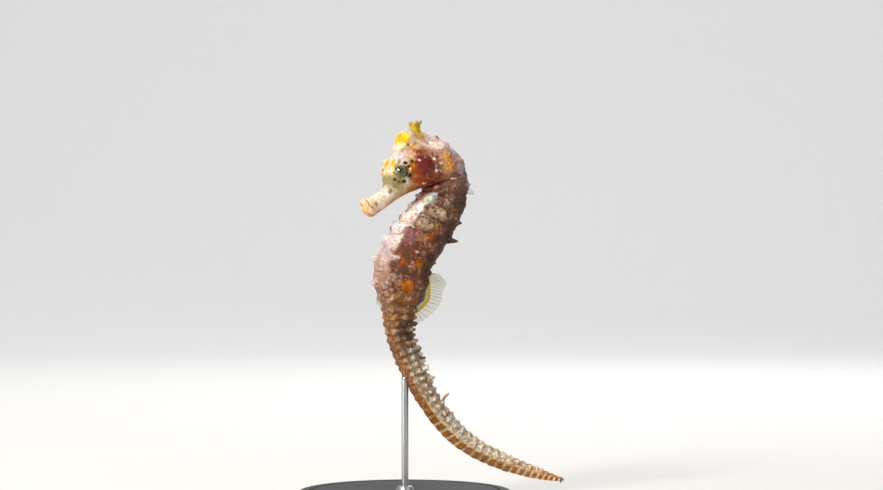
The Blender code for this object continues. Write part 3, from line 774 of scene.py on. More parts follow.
def body_mesh(front, front_places, rear, rear_places):
    """Points and faces of the whole skin, with the finer rows of the trunk knit to the tail's."""
    rows = closing_rows(front, front_places, 0, LIPS) + list(front_places)
    tail_rows = list(rear_places[1:])
    tail_rows += closing_rows(rear, rear_places, -1, [(s, out, 0.0) for s, out in TIP])
    points = np.concatenate(rows + tail_rows)
    faces = []
    for i in range(len(rows) - 1):
        faces += band(i * BODY_SIDES, (i + 1) * BODY_SIDES, BODY_SIDES)
    trunk, tail = (len(rows) - 1) * BODY_SIDES, len(rows) * BODY_SIDES
    for j in range(BODY_SIDES // 3):
        a, b = trunk + 3 * j, tail + 2 * j
        last_a = trunk + (3 * j + 3) % BODY_SIDES
        last_b = tail + (2 * j + 2) % TAIL_SIDES
        faces += [(a, a + 1, b + 1, b), (a + 1, a + 2, b + 1), (a + 2, last_a, last_b, b + 1)]
    for i in range(len(tail_rows) - 1):
        faces += band(tail + i * TAIL_SIDES, tail + (i + 1) * TAIL_SIDES, TAIL_SIDES)
    mouth, tip = len(points), len(points) + 1
    points = np.vstack((points, rows[0].mean(axis=0), tail_rows[-1].mean(axis=0)))
    end = tail + (len(tail_rows) - 1) * TAIL_SIDES
    faces += [(mouth, (j + 1) % BODY_SIDES, j) for j in range(BODY_SIDES)]
    faces += [(tip, end + j, end + (j + 1) % TAIL_SIDES) for j in range(TAIL_SIDES)]
    return points, faces


columns, ring, last_trunk = body_stations()
front = Skin(columns[:last_trunk + 1], ring[:last_trunk + 1], BODY_SIDES)
rear = Skin(columns[last_trunk:], ring[last_trunk:], TAIL_SIDES)
front_places, *front_relief = raised(front, TRUNK_KNOBS, groove=0.18, granule_height=0.24,
                                     granule_spacing=1.0)
rear_places, *rear_relief = raised(rear, TAIL_KNOBS, groove=0.14, granule_height=0.16,
                                   granule_spacing=0.85)

# ---------------------------------------------------------------------------------------------
# The markings: what the living skin shows, patch by patch, laid on both flanks, with some painted
# light and shade among them. They are worked out at every point of the skin, and the material adds
# only what is finer than its points.
# Plain tones down the body: ring (below 0 on the head), back, flank, belly. On the trunk the dark
# back tones are partly painted shade, and the near-white belly tones partly painted light, as are
# the raised belly tones of the tail, which faces away from the key lamp.
SKIN_TONES = (
    (-8.6, "#E2C6A0", "#DEC6A8", "#CE9A68"),
    (-7.4, "#ECDCCE", "#E2D2C2", "#C8946A"),
    (-6.2, "#D2C4B0", "#CCC0AC", "#B8845A"),
    (-5.4, "#C2B89C", "#AEA080", "#AC8048"),
    (-4.2, "#CEC2B6", "#BEAC8C", "#A26434"),
    (-3.0, "#C8BAB0", "#B89E84", "#944A26"),
    (-1.8, "#CEBCAC", "#C0A68A", "#843C26"),
    (-0.6, "#CEBCAE", "#C09A80", "#743220"),
    (0.6, "#CAB0A8", "#BE9884", "#70321F"),
    (1.8, "#8E7E7C", "#84604F", "#64291C"),
    (3.0, "#2A1E1C", "#56392F", "#9A6450"),
    (4.4, "#221612", "#785646", "#ECD6CA"),
    (6.2, "#32211A", "#8C5C46", "#FDF2EF"),
    (7.6, "#3A241C", "#7C4A38", "#DCCCCE"),
    (9.0, "#3E271C", "#7A4A34", "#B49E94"),
    (10.4, "#4A3022", "#7E5638", "#765644"),
    (12.0, "#4A3424", "#846244", "#7C5C46"),
    (14.5, "#3A2C22", "#5A3F2B", "#644630"),
    (17.0, "#524A40", "#787264", "#684630"),
    (20.0, "#6E6658", "#948E7E", "#805844"),
    (26.0, "#9C9078", "#C0BCAC", "#8A5C38"),
    (33.0, "#C4B294", "#E2D8C8", "#CC9A6E"),
    (40.0, "#C09668", "#DCBC98", "#B67C4E"),
    (43.5, "#B47440", "#C88C58", "#A05C2C"),
    (46.0, "#7E4420", "#94521F", "#46220C"),
)
# Round patches of the head seen from the side: forward, up, half length, half height, softness,
# colour, strength.
HEAD_PATCHES = (
    # crown and forehead
    (3.9, 100.2, 1.6, 2.4, 0.5, "#D2C6C2", 0.75),
    (1.7, 103.3, 1.65, 1.85, 0.22, "#E2AC30", 0.95),
    (0.8, 104.2, 0.9, 0.8, 0.4, "#F0DC50", 0.8),
    (1.9, 101.6, 1.3, 0.9, 0.5, "#EFE2B0", 0.5),
    (-3.4, 104.0, 2.4, 1.2, 0.6, "#988258", 0.75),
    (-3.1, 105.4, 1.7, 1.2, 0.5, "#C0A040", 0.9),
    (-4.6, 102.6, 1.8, 1.0, 0.5, "#CCAEA0", 0.6),
    (-7.8, 101.6, 2.6, 1.0, 0.4, "#F4E4D8", 0.85),
    (-6.4, 102.2, 0.9, 0.5, 0.3, "#F2EDE6", 0.7),
    (0.8, 101.6, 0.40, 0.62, 0.3, "#6E4A3A", 0.9),
    (-0.6, 100.1, 0.75, 0.80, 0.4, "#C4553A", 0.8),
    (-5.1, 102.2, 0.30, 0.85, 0.4, "#9A6C50", 0.7),
    (1.8, 99.4, 1.8, 1.3, 0.5, "#B8A28C", 0.7),
    # face
    (5.6, 94.0, 1.0, 0.9, 0.5, "#EFE8C8", 0.5),
    (5.2, 91.4, 2.0, 2.1, 0.5, "#746A42", 0.85),
    (3.4, 98.6, 1.9, 0.8, 0.4, "#CCC2C2", 0.7),
    (6.1, 88.7, 0.60, 0.85, 0.35, "#7A6250", 0.85),
    (7.0, 87.9, 0.50, 0.40, 0.3, "#F6F2EC", 0.9),
    (10.3, 85.1, 0.55, 0.75, 0.35, "#B87A22", 0.85),
    (11.6, 84.1, 0.45, 0.40, 0.4, "#C58A30", 0.8),
    # gill cover
    (0.1, 95.4, 1.3, 1.9, 0.3, "#C06C28", 0.9),
    (-1.0, 93.0, 2.4, 1.9, 0.3, "#A25A3C", 0.85),
    (-3.2, 91.6, 3.0, 1.2, 0.3, "#943A1E", 0.9),
    (-2.9, 96.5, 2.7, 3.7, 0.34, "#5C0C14", 0.97),
    (-2.5, 96.4, 1.0, 1.7, 0.6, "#702C34", 0.5),
    (-1.5, 94.2, 1.1, 1.2, 0.6, "#8A4638", 0.6),
    (-3.6, 99.2, 1.6, 1.0, 0.6, "#A8705A", 0.6),
    (-3.3, 95.1, 0.9, 0.8, 0.6, "#7C3440", 0.5),
    (-2.1, 99.8, 0.9, 0.8, 0.35, "#7E2A20", 0.85),
    (-1.6, 97.2, 1.0, 0.9, 0.5, "#823030", 0.4),
    (-3.3, 94.1, 0.36, 0.40, 0.25, "#220A0C", 1.0),
    # Painted highlight: a white glint of light on the gill cover.
    (-1.5, 97.3, 0.38, 0.32, 0.3, "#FFF6EE", 0.95),
    # behind the gill
    (-7.6, 94.6, 2.7, 3.9, 0.25, "#864028", 0.8),
    (-6.1, 99.0, 0.60, 0.50, 0.3, "#571F20", 0.9),
    (-7.3, 98.5, 0.50, 0.42, 0.3, "#5E2320", 0.9),
    (-8.2, 95.6, 0.65, 0.60, 0.3, "#2A1512", 0.95),
    # Painted highlights: the next five near-white marks are glints of light on the clear pectoral
    # fin, painted on the skin under it.
    (-6.5, 97.8, 0.46, 0.36, 0.3, "#F6F2EE", 0.95),
    (-8.4, 96.6, 0.62, 0.44, 0.3, "#F4F6FF", 1.0),
    (-7.2, 95.8, 0.34, 0.30, 0.3, "#EEE6E8", 0.9),
    (-7.1, 94.5, 0.58, 0.46, 0.3, "#F4F6FF", 1.0),
    (-8.9, 94.4, 0.36, 0.28, 0.3, "#F2EAE6", 0.9),
    (-10.8, 97.2, 1.7, 2.6, 0.35, "#F4B050", 0.8),
    (-13.9, 96.4, 1.9, 2.4, 0.6, "#A88070", 0.55),
    (-15.8, 95.2, 1.0, 1.8, 0.5, "#BEA8AC", 0.7),
    # Painted highlight: a glint of light on the neck.
    (-11.4, 96.6, 0.30, 0.30, 0.3, "#FFF0D8", 0.9),
    (-4.5, 92.2, 0.42, 0.36, 0.3, "#ECD6B4", 0.9),
    (-4.3, 90.9, 0.50, 0.42, 0.3, "#E8CCA0", 0.9),
    (1.7, 91.6, 0.40, 0.30, 0.3, "#DCE6F6", 0.9),
    (1.4, 90.9, 0.34, 0.26, 0.3, "#EEF0F6", 0.9),
    # Painted highlight: a glint of light above the eye.
    (2.9, 98.3, 0.36, 0.26, 0.3, "#FFFDF8", 0.8),
    (1.4, 94.9, 0.30, 0.24, 0.3, "#F6F2EA", 0.9),
    # fine dark spots round the eye
    (2.55, 96.55, 0.62, 0.58, 0.15, "#060404", 1.0),
    (0.60, 97.05, 0.58, 0.48, 0.15, "#0A0504", 1.0),
    (1.85, 95.50, 0.58, 0.50, 0.15, "#0A0504", 1.0),
    (1.40, 93.10, 0.86, 0.64, 0.15, "#060404", 1.0),
    (5.45, 91.85, 0.58, 0.54, 0.15, "#0A0605", 1.0),
    (2.80, 91.30, 0.68, 0.60, 0.15, "#060404", 1.0),
    (4.45, 91.25, 0.34, 0.28, 0.22, "#6A4228", 1.0),
    (4.30, 97.15, 0.34, 0.24, 0.3, "#70543C", 0.9),
    (4.80, 97.45, 0.26, 0.34, 0.3, "#8E5A28", 0.9),
    (4.70, 98.80, 0.40, 0.26, 0.3, "#8A7468", 0.8),
)
SMALL_MARK = 0.8  # the half length below which a mark is crisp and stays on the flank
# Streaks of the head: a line of forward and up, half width, colour, strength.
HEAD_STREAKS = (
    (((0.2, 100.9), (-0.7, 101.3), (-1.5, 102.3)), 0.28, "#C48A24", 0.9),
    (((-5.0, 98.4), (-5.4, 96.2), (-5.0, 93.4), (-4.3, 91.4)), 0.42, "#47160F", 0.65),
    (((-10.3, 91.7), (-8.8, 90.9), (-7.2, 90.2)), 0.42, "#511A14", 0.9),
    (((-12.1, 92.35), (-13.9, 92.5)), 0.17, "#EFE2D6", 0.8),
    (((13.2, 86.4), (12.6, 85.3), (11.7, 84.0)), 0.17, "#B8702A", 0.8),
    (((0.8, 97.4), (1.2, 97.9)), 0.25, "#A8702E", 0.7),
)
# Round patches of the body: ring, degrees from the back, half length, half width, softness,
# colour, strength.
BODY_PATCHES = (
    (-4.6, 23, 1.3, 1.15, 0.25, "#DCA82C", 0.97),
    (3.5, 135, 1.3, 1.4, 0.25, "#A8B2BA", 1.0),
    (3.3, 130, 0.6, 0.7, 0.4, "#F4FAF6", 0.5),
    (3.25, 119, 0.9, 0.9, 0.3, "#241614", 0.95),
    (4.1, 138, 1.7, 1.9, 0.2, "#D2DCCE", 1.0),
    (4.35, 142, 0.7, 0.9, 0.4, "#F2FAEE", 0.9),
    (4.9, 147, 1.9, 1.3, 0.2, "#EFF7F0", 0.95),
    (4.3, 130, 0.7, 0.5, 0.3, "#8E7A50", 0.7),
    (4.2, 146, 0.5, 0.35, 0.3, "#C6902E", 0.85),
    # Painted light: the belly's pale skin, lifted to near white where the key light strikes it.
    (5.3, 170, 2.8, 1.8, 0.4, "#F8F0EC", 0.95),
    # Painted shade: mauve-grey where shade falls between the belly knobs.
    (7.85, 178, 1.0, 1.3, 0.4, "#A8A0B2", 0.7),
    (6.5, 178, 0.9, 1.0, 0.4, "#AABCD6", 0.85),
    (3.4, 62, 2.4, 2.4, 0.5, "#32241E", 0.8),
    (8.9, 55, 3.2, 1.8, 0.4, "#35200F", 0.85),
    (3.1, 92, 1.2, 1.4, 0.5, "#80626A", 0.5),
    (3.8, 93, 0.8, 0.9, 0.4, "#A28E98", 0.6),
    (4.6, 107, 1.8, 2.3, 0.12, "#B29A82", 0.97),
    (4.4, 100, 0.8, 1.0, 0.5, "#C8B090", 0.5),
    (5.75, 112, 1.6, 2.3, 0.12, "#C0A890", 0.97),
    (5.6, 104, 0.8, 0.9, 0.5, "#A88A6C", 0.5),
    (4.75, 88, 1.2, 0.9, 0.3, "#B5A283", 0.7),
    (5.35, 90, 0.7, 0.5, 0.3, "#B88E58", 0.8),
    (5.05, 78, 0.9, 1.2, 0.3, "#3A2220", 0.85),
    (6.15, 83, 1.5, 1.5, 0.12, "#B86610", 1.0),
    (6.3, 76, 0.9, 0.7, 0.3, "#2E1F1A", 0.85),
    (6.9, 123, 2.0, 2.6, 0.12, "#986C74", 0.95),
    (7.1, 121, 1.0, 1.2, 0.4, "#B48E88", 0.6),
    (7.2, 142, 1.3, 0.8, 0.25, "#F6F0E0", 0.9),
    (6.6, 104, 1.2, 1.3, 0.3, "#B88464", 0.65),
    (7.4, 98, 1.5, 1.6, 0.3, "#6A3A34", 0.8),
    (7.8, 118, 1.3, 2.0, 0.25, "#5E342C", 0.8),
    (7.55, 95, 0.32, 0.32, 0.3, "#D8D0C0", 0.8),
    (8.25, 132, 0.5, 1.5, 0.3, "#E6D6C6", 0.7),
    (5.3, 50, 3.6, 2.3, 0.4, "#1C100C", 0.95),
    (7.35, 60, 1.4, 1.3, 0.16, "#24140F", 1.0),
    (6.05, 70, 1.3, 1.1, 0.25, "#2A1A14", 0.9),
    (8.3, 50, 1.8, 1.5, 0.3, "#2C1C16", 0.85),
    (8.15, 77, 1.3, 1.2, 0.12, "#C26C12", 1.0),
    (8.15, 62, 1.5, 0.9, 0.3, "#2C1C18", 0.85),
    (8.5, 114, 1.0, 0.95, 0.15, "#CC560C", 0.97),
    (8.75, 108, 1.5, 1.6, 0.3, "#4A2C2A", 0.8),
    (8.6, 128, 1.0, 1.8, 0.4, "#5C3C36", 0.7),
    (9.0, 86, 1.4, 1.2, 0.4, "#5A3830", 0.7),
    (9.75, 97, 1.8, 1.95, 0.10, "#C66C0C", 1.0),
    (9.35, 118, 0.6, 0.6, 0.3, "#4E2C22", 0.8),
    (9.2, 150, 1.4, 2.0, 0.4, "#9C8276", 0.7),
    (8.0, 165, 1.2, 1.0, 0.4, "#C8BCC8", 0.6),
    (10.1, 108, 0.8, 0.9, 0.4, "#A87E5C", 0.7),
    (10.3, 128, 0.8, 0.9, 0.4, "#B08864", 0.7),
    (9.5, 115, 0.9, 1.0, 0.4, "#C09A80", 0.6),
    (10.6, 92, 0.9, 1.0, 0.4, "#9A7456", 0.7),
    (9.15, 145, 0.25, 1.2, 0.3, "#A86A38", 0.7),
    (9.5, 152, 0.25, 1.0, 0.3, "#A86A38", 0.6),
    (10.7, 114, 1.2, 1.2, 0.4, "#8A5434", 0.6),
    (12.7, 132, 0.8, 0.8, 0.3, "#B98248", 0.8),
    (13.6, 96, 1.1, 1.5, 0.25, "#2A2420", 0.9),
    (13.4, 60, 1.0, 1.8, 0.4, "#3A2C22", 0.8),
    (14.8, 78, 1.9, 1.9, 0.35, "#1E1815", 0.95),
    (14.3, 64, 0.8, 1.2, 0.35, "#A08C72", 0.8),
    (14.3, 143, 1.0, 1.2, 0.35, "#A08670", 0.8),
    (16.2, 118, 1.2, 1.4, 0.4, "#5A3A28", 0.7),
    (20.3, 46, 1.1, 1.3, 0.25, "#FBF4EA", 0.97),
    (18.7, 90, 0.8, 0.9, 0.35, "#B4BCC0", 0.7),
    (17.4, 70, 0.7, 0.9, 0.4, "#8E949A", 0.6),
)
# Small black dots at the corners of the plates: ring, degrees.
BODY_DOTS = ((5.3, 125), (5.4, 140), (5.5, 106), (6.1, 101), (6.4, 132), (4.6, 112), (5.15, 134),
             (5.25, 118), (7.0, 105), (7.7, 88), (8.1, 104), (9.2, 104), (9.05, 120), (8.9, 130),
             (9.6, 128), (10.1, 126), (4.9, 96), (6.9, 92), (3.6, 118), (4.4, 118))
DOT_RADIUS = 0.36
DOT_COLOUR = "#1E1012"
GROOVE_COLOUR = "#33201A"
BAR_COLOUR = "#F4E2C4"
KNOB_COLOUR = "#DCDCD0"
# The plates that stand out have a dark outline.
OUTLINED = ((4.6, 107), (5.75, 112), (6.9, 123), (6.15, 83), (8.15, 77), (9.75, 97))


def over(colours, hex_colour, weight):
    """The colours covered by this one, as far as the weight says."""
    return colours + (np.array(linear(hex_colour)) - colours) * weight[..., None]


def patch(away, softness):
    """1 inside a patch and 0 outside; away is 1 at its edge."""
    return 1.0 - smooth_step(away, 1.0 - softness, 1.0 + softness)


def skin_colours(skin, places, height, tops, bumps):
    """The colour of every point of a stretch of skin."""
    ring = skin.grid_ring
    edge = 0.30 * sampled(noise.noise, places / 0.9) + 0.16 * sampled(noise.noise, places / 0.38)
    slow = sampled(noise.noise, places / 2.1 + 40.0)
    away = np.degrees(skin.from_back)
    on_tail = smooth_step(ring, 17.0, 21.0)
    stops = [row[0] for row in SKIN_TONES]
    tones = []
    for column in (1, 2, 3):
        table = np.array([linear(row[column]) for row in SKIN_TONES])
        tones.append(np.stack([np.interp(ring, stops, channel) for channel in table.T], axis=-1))
    drift = 26.0 * slow * (1.0 - on_tail) + 9.0 * edge
    # The back takes the back tones and the belly the belly tones: partly painted shade on the back of
    # the trunk, partly painted light on the belly.
    back = 1.0 - smooth_step(away + drift, 42 - 14 * on_tail, 76 - 30 * on_tail)
    belly = smooth_step(away + drift, 116 + 14 * on_tail, 150 - 10 * on_tail)
    colours = tones[1] + (tones[0] - tones[1]) * back[..., None]
    colours = colours + (tones[2] - colours) * belly[..., None]

    on_trunk = smooth_step(ring, 0.4, 2.2)
    base_of_tail = smooth_step(ring, 10.0, 12.0) * (1.0 - on_tail)
    # The sides of the tail are set with pale granules, the belly knobs are white-pink.
    pale = smooth_step(0.8 * tops + 0.6 * bumps + 0.5 * edge, 0.25, 0.85)
    pale *= 1.0 - 0.85 * smooth_step(ring, 40.0, 43.5)
    granular = smooth_step(ring, 15.8, 18.5) * (1.0 - belly)
    colours = over(colours, KNOB_COLOUR, 0.88 * pale * granular)
    colours = over(colours, "#BC9A7A", 0.55 * pale * base_of_tail)
    under = smooth_step(ring, 14.0, 17.0) * (1.0 - smooth_step(ring, 23.0, 27.0)) * belly
    colours = over(colours, "#C09C74", 0.6 * pale * under)
    knob = smooth_step(tops + 0.3 * edge, 0.30, 0.75) * on_trunk * (ring < 10.5)
    colours = over(colours, "#E6D6CE", 0.65 * knob * belly)
    colours = over(colours, "#A08474", 0.35 * knob * (1.0 - belly))

    # Between the marks the trunk is clouded with rose, cream and dark brown, 1 mm wide.
    clouds = sampled(noise.noise, places / 0.8 + 17.0) + 0.6 * sampled(noise.noise, places / 0.36)
    clouded = smooth_step(ring, 1.8, 3.0) * (1.0 - smooth_step(ring, 26.0, 30.0))
    clouded *= 1.0 - 0.65 * belly * (ring < 9.5)
    light = 0.6 * clouded * (1.0 - 0.85 * back) * smooth_step(clouds, 0.12, 0.5)
    behind = smooth_step(ring, 11.0, 14.0)
    colours = over(colours, "#D2AC96", light * (1.0 - behind))
    colours = over(colours, "#B88A5C", light * behind)
    colours = over(colours, "#3A201A", 0.6 * clouded * smooth_step(-clouds, 0.12, 0.5))

    for at, degrees, length, width, softness, colour, strength in BODY_PATCHES:
        lengthwise = np.abs(ring - at) * skin.per_ring / length
        across = skin.from_pair(degrees) / width
        # A plate has corners, a mark has none.
        power = 4.0 if (at, degrees) in OUTLINED else 2.0
        reach = (lengthwise ** power + across ** power) ** (1.0 / power)
        reach = reach + (0.55 if power == 2.0 else 0.38) * edge
        if (at, degrees) in OUTLINED:
            colours = over(colours, GROOVE_COLOUR, 0.55 * hill(reach - 1.12, 0.13))
        colours = over(colours, colour, strength * patch(reach, softness))
    for at, degrees in BODY_DOTS:
        reach = np.hypot((ring - at) * skin.per_ring, skin.from_pair(degrees)) / DOT_RADIUS
        colours = over(colours, DOT_COLOUR, 0.95 * patch(reach + 0.6 * edge, 0.3))

    # The darkest clouds lie over the marks too.
    dim = on_trunk * (1.0 - on_tail) * smooth_step(-clouds, 0.05, 0.4)
    colours = over(colours, "#6E4E3E", 0.28 * dim)

    # The foot of the dorsal fin: pale and bluish below, a yellow-green line along its top.
    foot = fin_foot(skin) / FIN_FOOT_HEIGHT
    bluish = smooth_step(foot, 0.10, 0.45) * smooth_step(ring, 9.4, 10.2)
    colours = over(colours, "#B8C4C0", 0.9 * bluish)
    colours = over(colours, "#C6B424", 0.95 * smooth_step(foot, 0.60, 0.85))

    # Grooves between the rings and along the ridges hold the dark colour.
    crease = hill(skin.from_border(), 0.20, 2)
    for degrees in (90, 112, 135):
        crease = np.maximum(crease, 0.6 * hill(skin.from_pair(degrees), 0.14, 2) * (tops < 0.3))
    broken = smooth_step(slow + edge, -0.25, 0.35)
    colours = over(colours, GROOVE_COLOUR, 0.62 * crease * broken * on_trunk * (1.0 - on_tail))
    # Painted shade: the skin is darkened where its relief lies low, in the hollows between ridges and
    # knobs, least on the belly and the tail.
    low = (1.0 - smooth_step(height, -0.05, 0.26)) * smooth_step(ring, 0.5, 3.0)
    colours = over(colours, "#5A3822", 0.50 * low * (1.0 - 0.7 * belly) * (1.0 - 0.4 * on_tail))
    gaps = (1.0 - smooth_step(bumps + 0.3 * tops, 0.05, 0.40)) * (1.0 - belly)
    colours = over(colours, "#8A6844", 0.55 * gaps * on_tail)

    # Under the tail each ring is an orange-brown square between pale bars.
    squares = on_tail * belly
    bar = hill(skin.from_border(), 0.36, 4)
    seam = hill(skin.from_border(), 0.10, 2)
    barred = squares * (0.1 * smooth_step(ring, 20.0, 22.0) + 0.9 * smooth_step(ring, 25.0, 28.5))
    colours = over(colours, BAR_COLOUR, 0.92 * bar * barred * smooth_step(edge, -0.5, 0.0))
    colours = over(colours, "#A87E50", 0.5 * seam * barred * (ring < 31.0))
    ridge = hill(skin.from_pair(135), 0.34, 4) * on_tail
    ridge *= smooth_step(ring, 22.0, 26.0) * (1.0 - smooth_step(ring, 41.0, 44.0))
    colours = over(colours, "#C8AC84", 0.6 * ridge)

    # The head, seen from the side. The noise in edge keeps every outline uneven.
    on_head = 1.0 - smooth_step(ring, 2.2, 3.0)
    side = smooth_step(np.abs(places[..., 1]), 0.1, 0.5)
    forward, up = places[..., 0], places[..., 2]
    for x, z, length, rise, softness, colour, strength in HEAD_PATCHES:
        reach = np.hypot((forward - x) / length, (up - z) / rise)
        if length < SMALL_MARK:
            # A small mark keeps to the flank, however the skin turns away there.
            near = from_side(places, x, z) < 0.35
            outermost = np.abs(places[..., 1][near]).max() if near.any() else 0.0
            reach = np.hypot(reach, (np.abs(places[..., 1]) - outermost) / length)
        rough = 0.30 if length < SMALL_MARK else 0.80
        here = patch(reach + edge * rough, softness) * on_head
        colours = over(colours, colour, strength * here)
    for line, half_width, colour, strength in HEAD_STREAKS:
        reach = distance_to_line(places, line) / half_width
        colours = over(colours, colour, strength * patch(reach + 0.8 * edge, 0.4) * on_head * side)
    return colours


points, faces = body_mesh(front, front_places, rear, rear_places)
front_colours = skin_colours(front, front_places, *front_relief)
rear_colours = skin_colours(rear, rear_places, *rear_relief)
tip_row, lip_row = rear_colours[-1], front_colours[0]
# The lips are paler towards the opening of the mouth.
lip_shares = [0.8 * (1 - i / len(LIPS)) for i in range(len(LIPS))]
lip_rows = [over(lip_row, "#E8B890", np.full(BODY_SIDES, share)) for share in lip_shares]
body_colours = np.concatenate(lip_rows
                              + [front_colours.reshape(-1, 4), rear_colours[1:].reshape(-1, 4)]
                              + [tip_row] * len(TIP) + [lip_row[:1], tip_row[:1]])

# ---------------------------------------------------------------------------------------------
# What grows out of the skin: the crown on the head, the wrinkled lids, the spines of brow, cheek
# and back, and a few soft threads. Each is closed, and is joined to the skin without a seam.
CORONET_PLACE = (-3.0, 105.2)  # forward and up of the middle of its foot
CORONET_TILT = math.radians(-3)
CORONET_POINTS = 5
CORONET_SLOPE = 0.15  # how much lower its front is, for each millimetre of height
CORONET_SIDES = 80
CORONET_ROWS = 45
#                height, mean radius, how far the points stand out, how far they rise
CORONET_LEVELS = ((-1.8, 2.60, 0.00, 0.00), (-0.8, 2.25, 0.00, 0.00), (0.1, 1.85, 0.02, 0.00),
                  (0.8, 1.56, 0.04, 0.00), (1.4, 1.42, 0.08, 0.04), (1.95, 1.50, 0.12, 0.12),
                  (2.4, 1.64, 0.15, 0.20), (2.8, 1.70, 0.17, 0.26), (3.08, 1.50, 0.18, 0.26),
                  (3.12, 1.15, 0.16, 0.18), (2.9, 0.62, 0.10, 0.06), (2.8, 0.22, 0.00, 0.00))
# Spines and threads of the head and neck, on both sides: forward, left, up of the root, which
# way it points, length, thickness at the root, how far it curls, colour, and how it tapers if
# it is blunt.
PAIRED_SPINES = (
    ((4.1, 3.3, 96.8), (0.43, 0.70, 0.57), 1.35, 1.5, 0.0, "#E2CCB8", 0.5),
    ((-3.4, 4.4, 90.9), (-0.1, 0.75, -0.65), 0.7, 0.55, 0.0, "#C49A78"),
)
# The same for the body: ring, degrees from the back, which way, length, thickness, curl, colour,
# taper.
BODY_SPINES = (
    (0.35, 10, (-0.45, 0.0, 0.90), 0.55, 1.5, 0.0, "#7E4C3A"),
    (0.85, 8, (-0.60, 0.1, 0.80), 0.6, 1.8, 0.0, "#C8A08A"),
    (1.75, 14, (-1.0, 0.1, 0.25), 0.5, 1.5, 0.0, "#8C6A5A"),
    (2.76, 26, (-0.92, 0.15, -0.40), 2.1, 1.9, 0.0, "#FAF8FF", 0.4),
    (5.55, 30, (-0.98, 0.2, -0.22), 2.5, 1.8, -0.10, "#5A3E30"),
    (4.4, 30, (-0.95, 0.2, -0.15), 0.9, 1.3, 0.0, "#4A322A"),
    (13.5, 40, (-0.95, 0.2, 0.15), 0.7, 1.3, 0.0, "#4C3626"),
    (17.8, 42, (-0.85, 0.2, 0.50), 0.9, 1.2, -0.1, "#6A5444"),
    (19.2, 42, (-0.80, 0.2, 0.55), 0.8, 1.2, -0.1, "#5C4636"),
    (20.3, 44, (-0.80, 0.2, 0.52), 0.75, 2.4, 0.0, "#F4ECE2"),
    (21.9, 40, (-0.97, 0.2, 0.12), 1.9, 1.7, 0.1, "#D0C0AC"),
    (27.2, 42, (-0.80, 0.3, 0.45), 0.8, 1.1, 0.0, "#B89468"),
    (25.4, 38, (0.02, 0.2, 0.97), 2.3, 0.85, 0.85, "#A88468", 0.15),
    (45.4, 180, (-0.1, 0.0, -1.0), 0.9, 0.45, 0.0, "#4A2A1A"),
)


def tube(path, radii, sides=10):
    """Points and faces of a closed tube along a path in millimetres."""
    path = np.asarray(path, float)
    along = unit(np.gradient(path, axis=0))
    first = np.cross(along[0], (0.3, 0.2, 0.9))
    points, faces = [], []
    for centre, way, radius in zip(path, along, radii):
        first = unit(first - way * (first @ way))
        second = np.cross(way, first)
        for j in range(sides):
            angle = 2 * math.pi * j / sides
            points.append(centre + radius * (first * math.cos(angle) + second * math.sin(angle)))
    for i in range(len(path) - 1):
        faces += band(i * sides, (i + 1) * sides, sides)
    faces.append(tuple(reversed(range(sides))))
    faces.append(tuple((len(path) - 1) * sides + j for j in range(sides)))
    return np.array(points), faces


def spine(root, way, length, thickness, curl, colour, taper=0.7, sides=10, steps=12):
    """A spine or thread from below the skin to a rounded, paler tip; a small taper is blunt."""
    way = unit(np.array(way, float))
    side = unit(np.cross(way, (0.0, 1.0, 0.0)))
    path, radii = [], []
    # A short one starts deeper under the skin, for its length, than a long one.
    for t in np.linspace(-0.35 if length < 2.0 else -0.2, 1.0, steps):
        bent = side * curl * max(t, 0.0) ** 2
        path.append(np.array(root) + (way * t + bent) * length)
        left = max(0.0, 1.0 - max(t, 0.0)) ** taper
        radii.append(thickness * (0.12 + 0.88 * left) * (1.25 if t <= 0.0 else 1.0) / 2 + 0.02)
    points, faces = tube(path, radii, sides)
    share = np.repeat(np.linspace(0.0, 1.0, steps), sides)
    colours = np.tile(linear(colour), (len(points), 1))
    return points, faces, over(colours, "#EAE0D0", 0.6 * smooth_step(share, 0.75, 1.0))


def coronet():
    """The crown: a stem that flares into a ring of blunt points round a hollow."""
    levels = eased(CORONET_LEVELS, np.linspace(0.0, len(CORONET_LEVELS) - 1.0, CORONET_ROWS))
    lean = Quaternion((0.0, 1.0, 0.0), CORONET_TILT)
    points, faces = [], []
    # The points rise and stand out as the levels say, and a slow noise makes each its own.
    for height, radius, stand_out, rise in levels:
        for side in range(CORONET_SIDES):
            angle = 2 * math.pi * side / CORONET_SIDES
            lobe = math.cos(angle * CORONET_POINTS)
            lobe = math.copysign(abs(lobe) ** 0.8, lobe)
            rough = noise.noise(Vector((math.cos(angle), math.sin(angle), height)) * 1.9)
            reach = radius * (1.0 + stand_out * lobe) + 0.20 * rough
            up = height + rise * (lobe + 0.5 * rough)
            up -= CORONET_SLOPE * height * math.cos(angle)
            point = lean @ Vector((reach * math.cos(angle), reach * math.sin(angle), up))
            points.append(point + Vector((CORONET_PLACE[0], 0.0, CORONET_PLACE[1])))
    for i in range(len(levels) - 1):
        faces += band(i * CORONET_SIDES, (i + 1) * CORONET_SIDES, CORONET_SIDES)
    points = np.array(points)
    bottom, top = len(points), len(points) + 1
    points = np.vstack((points, points[:CORONET_SIDES].mean(axis=0),
                        points[-CORONET_SIDES:].mean(axis=0)))
    last = (len(levels) - 1) * CORONET_SIDES
    for j in range(CORONET_SIDES):
        k = (j + 1) % CORONET_SIDES
        faces += [(bottom, k, j), (top, last + j, last + k)]
    rise = points[:, 2] - CORONET_PLACE[1]
    colours = np.tile(linear("#B4965C"), (len(points), 1))
    patchy = 0.5 * sampled(noise.noise, points / 0.7)
    colours = over(colours, "#BE9E36", smooth_step(rise + patchy, -0.4, 1.2))
    colours = over(colours, "#8E7E38", 0.6 * smooth_step(patchy, 0.0, 0.25))
    colours = over(colours, "#B2A68C", 0.9 * smooth_step(rise + patchy, 2.2, 3.0))
    return points, faces, colours


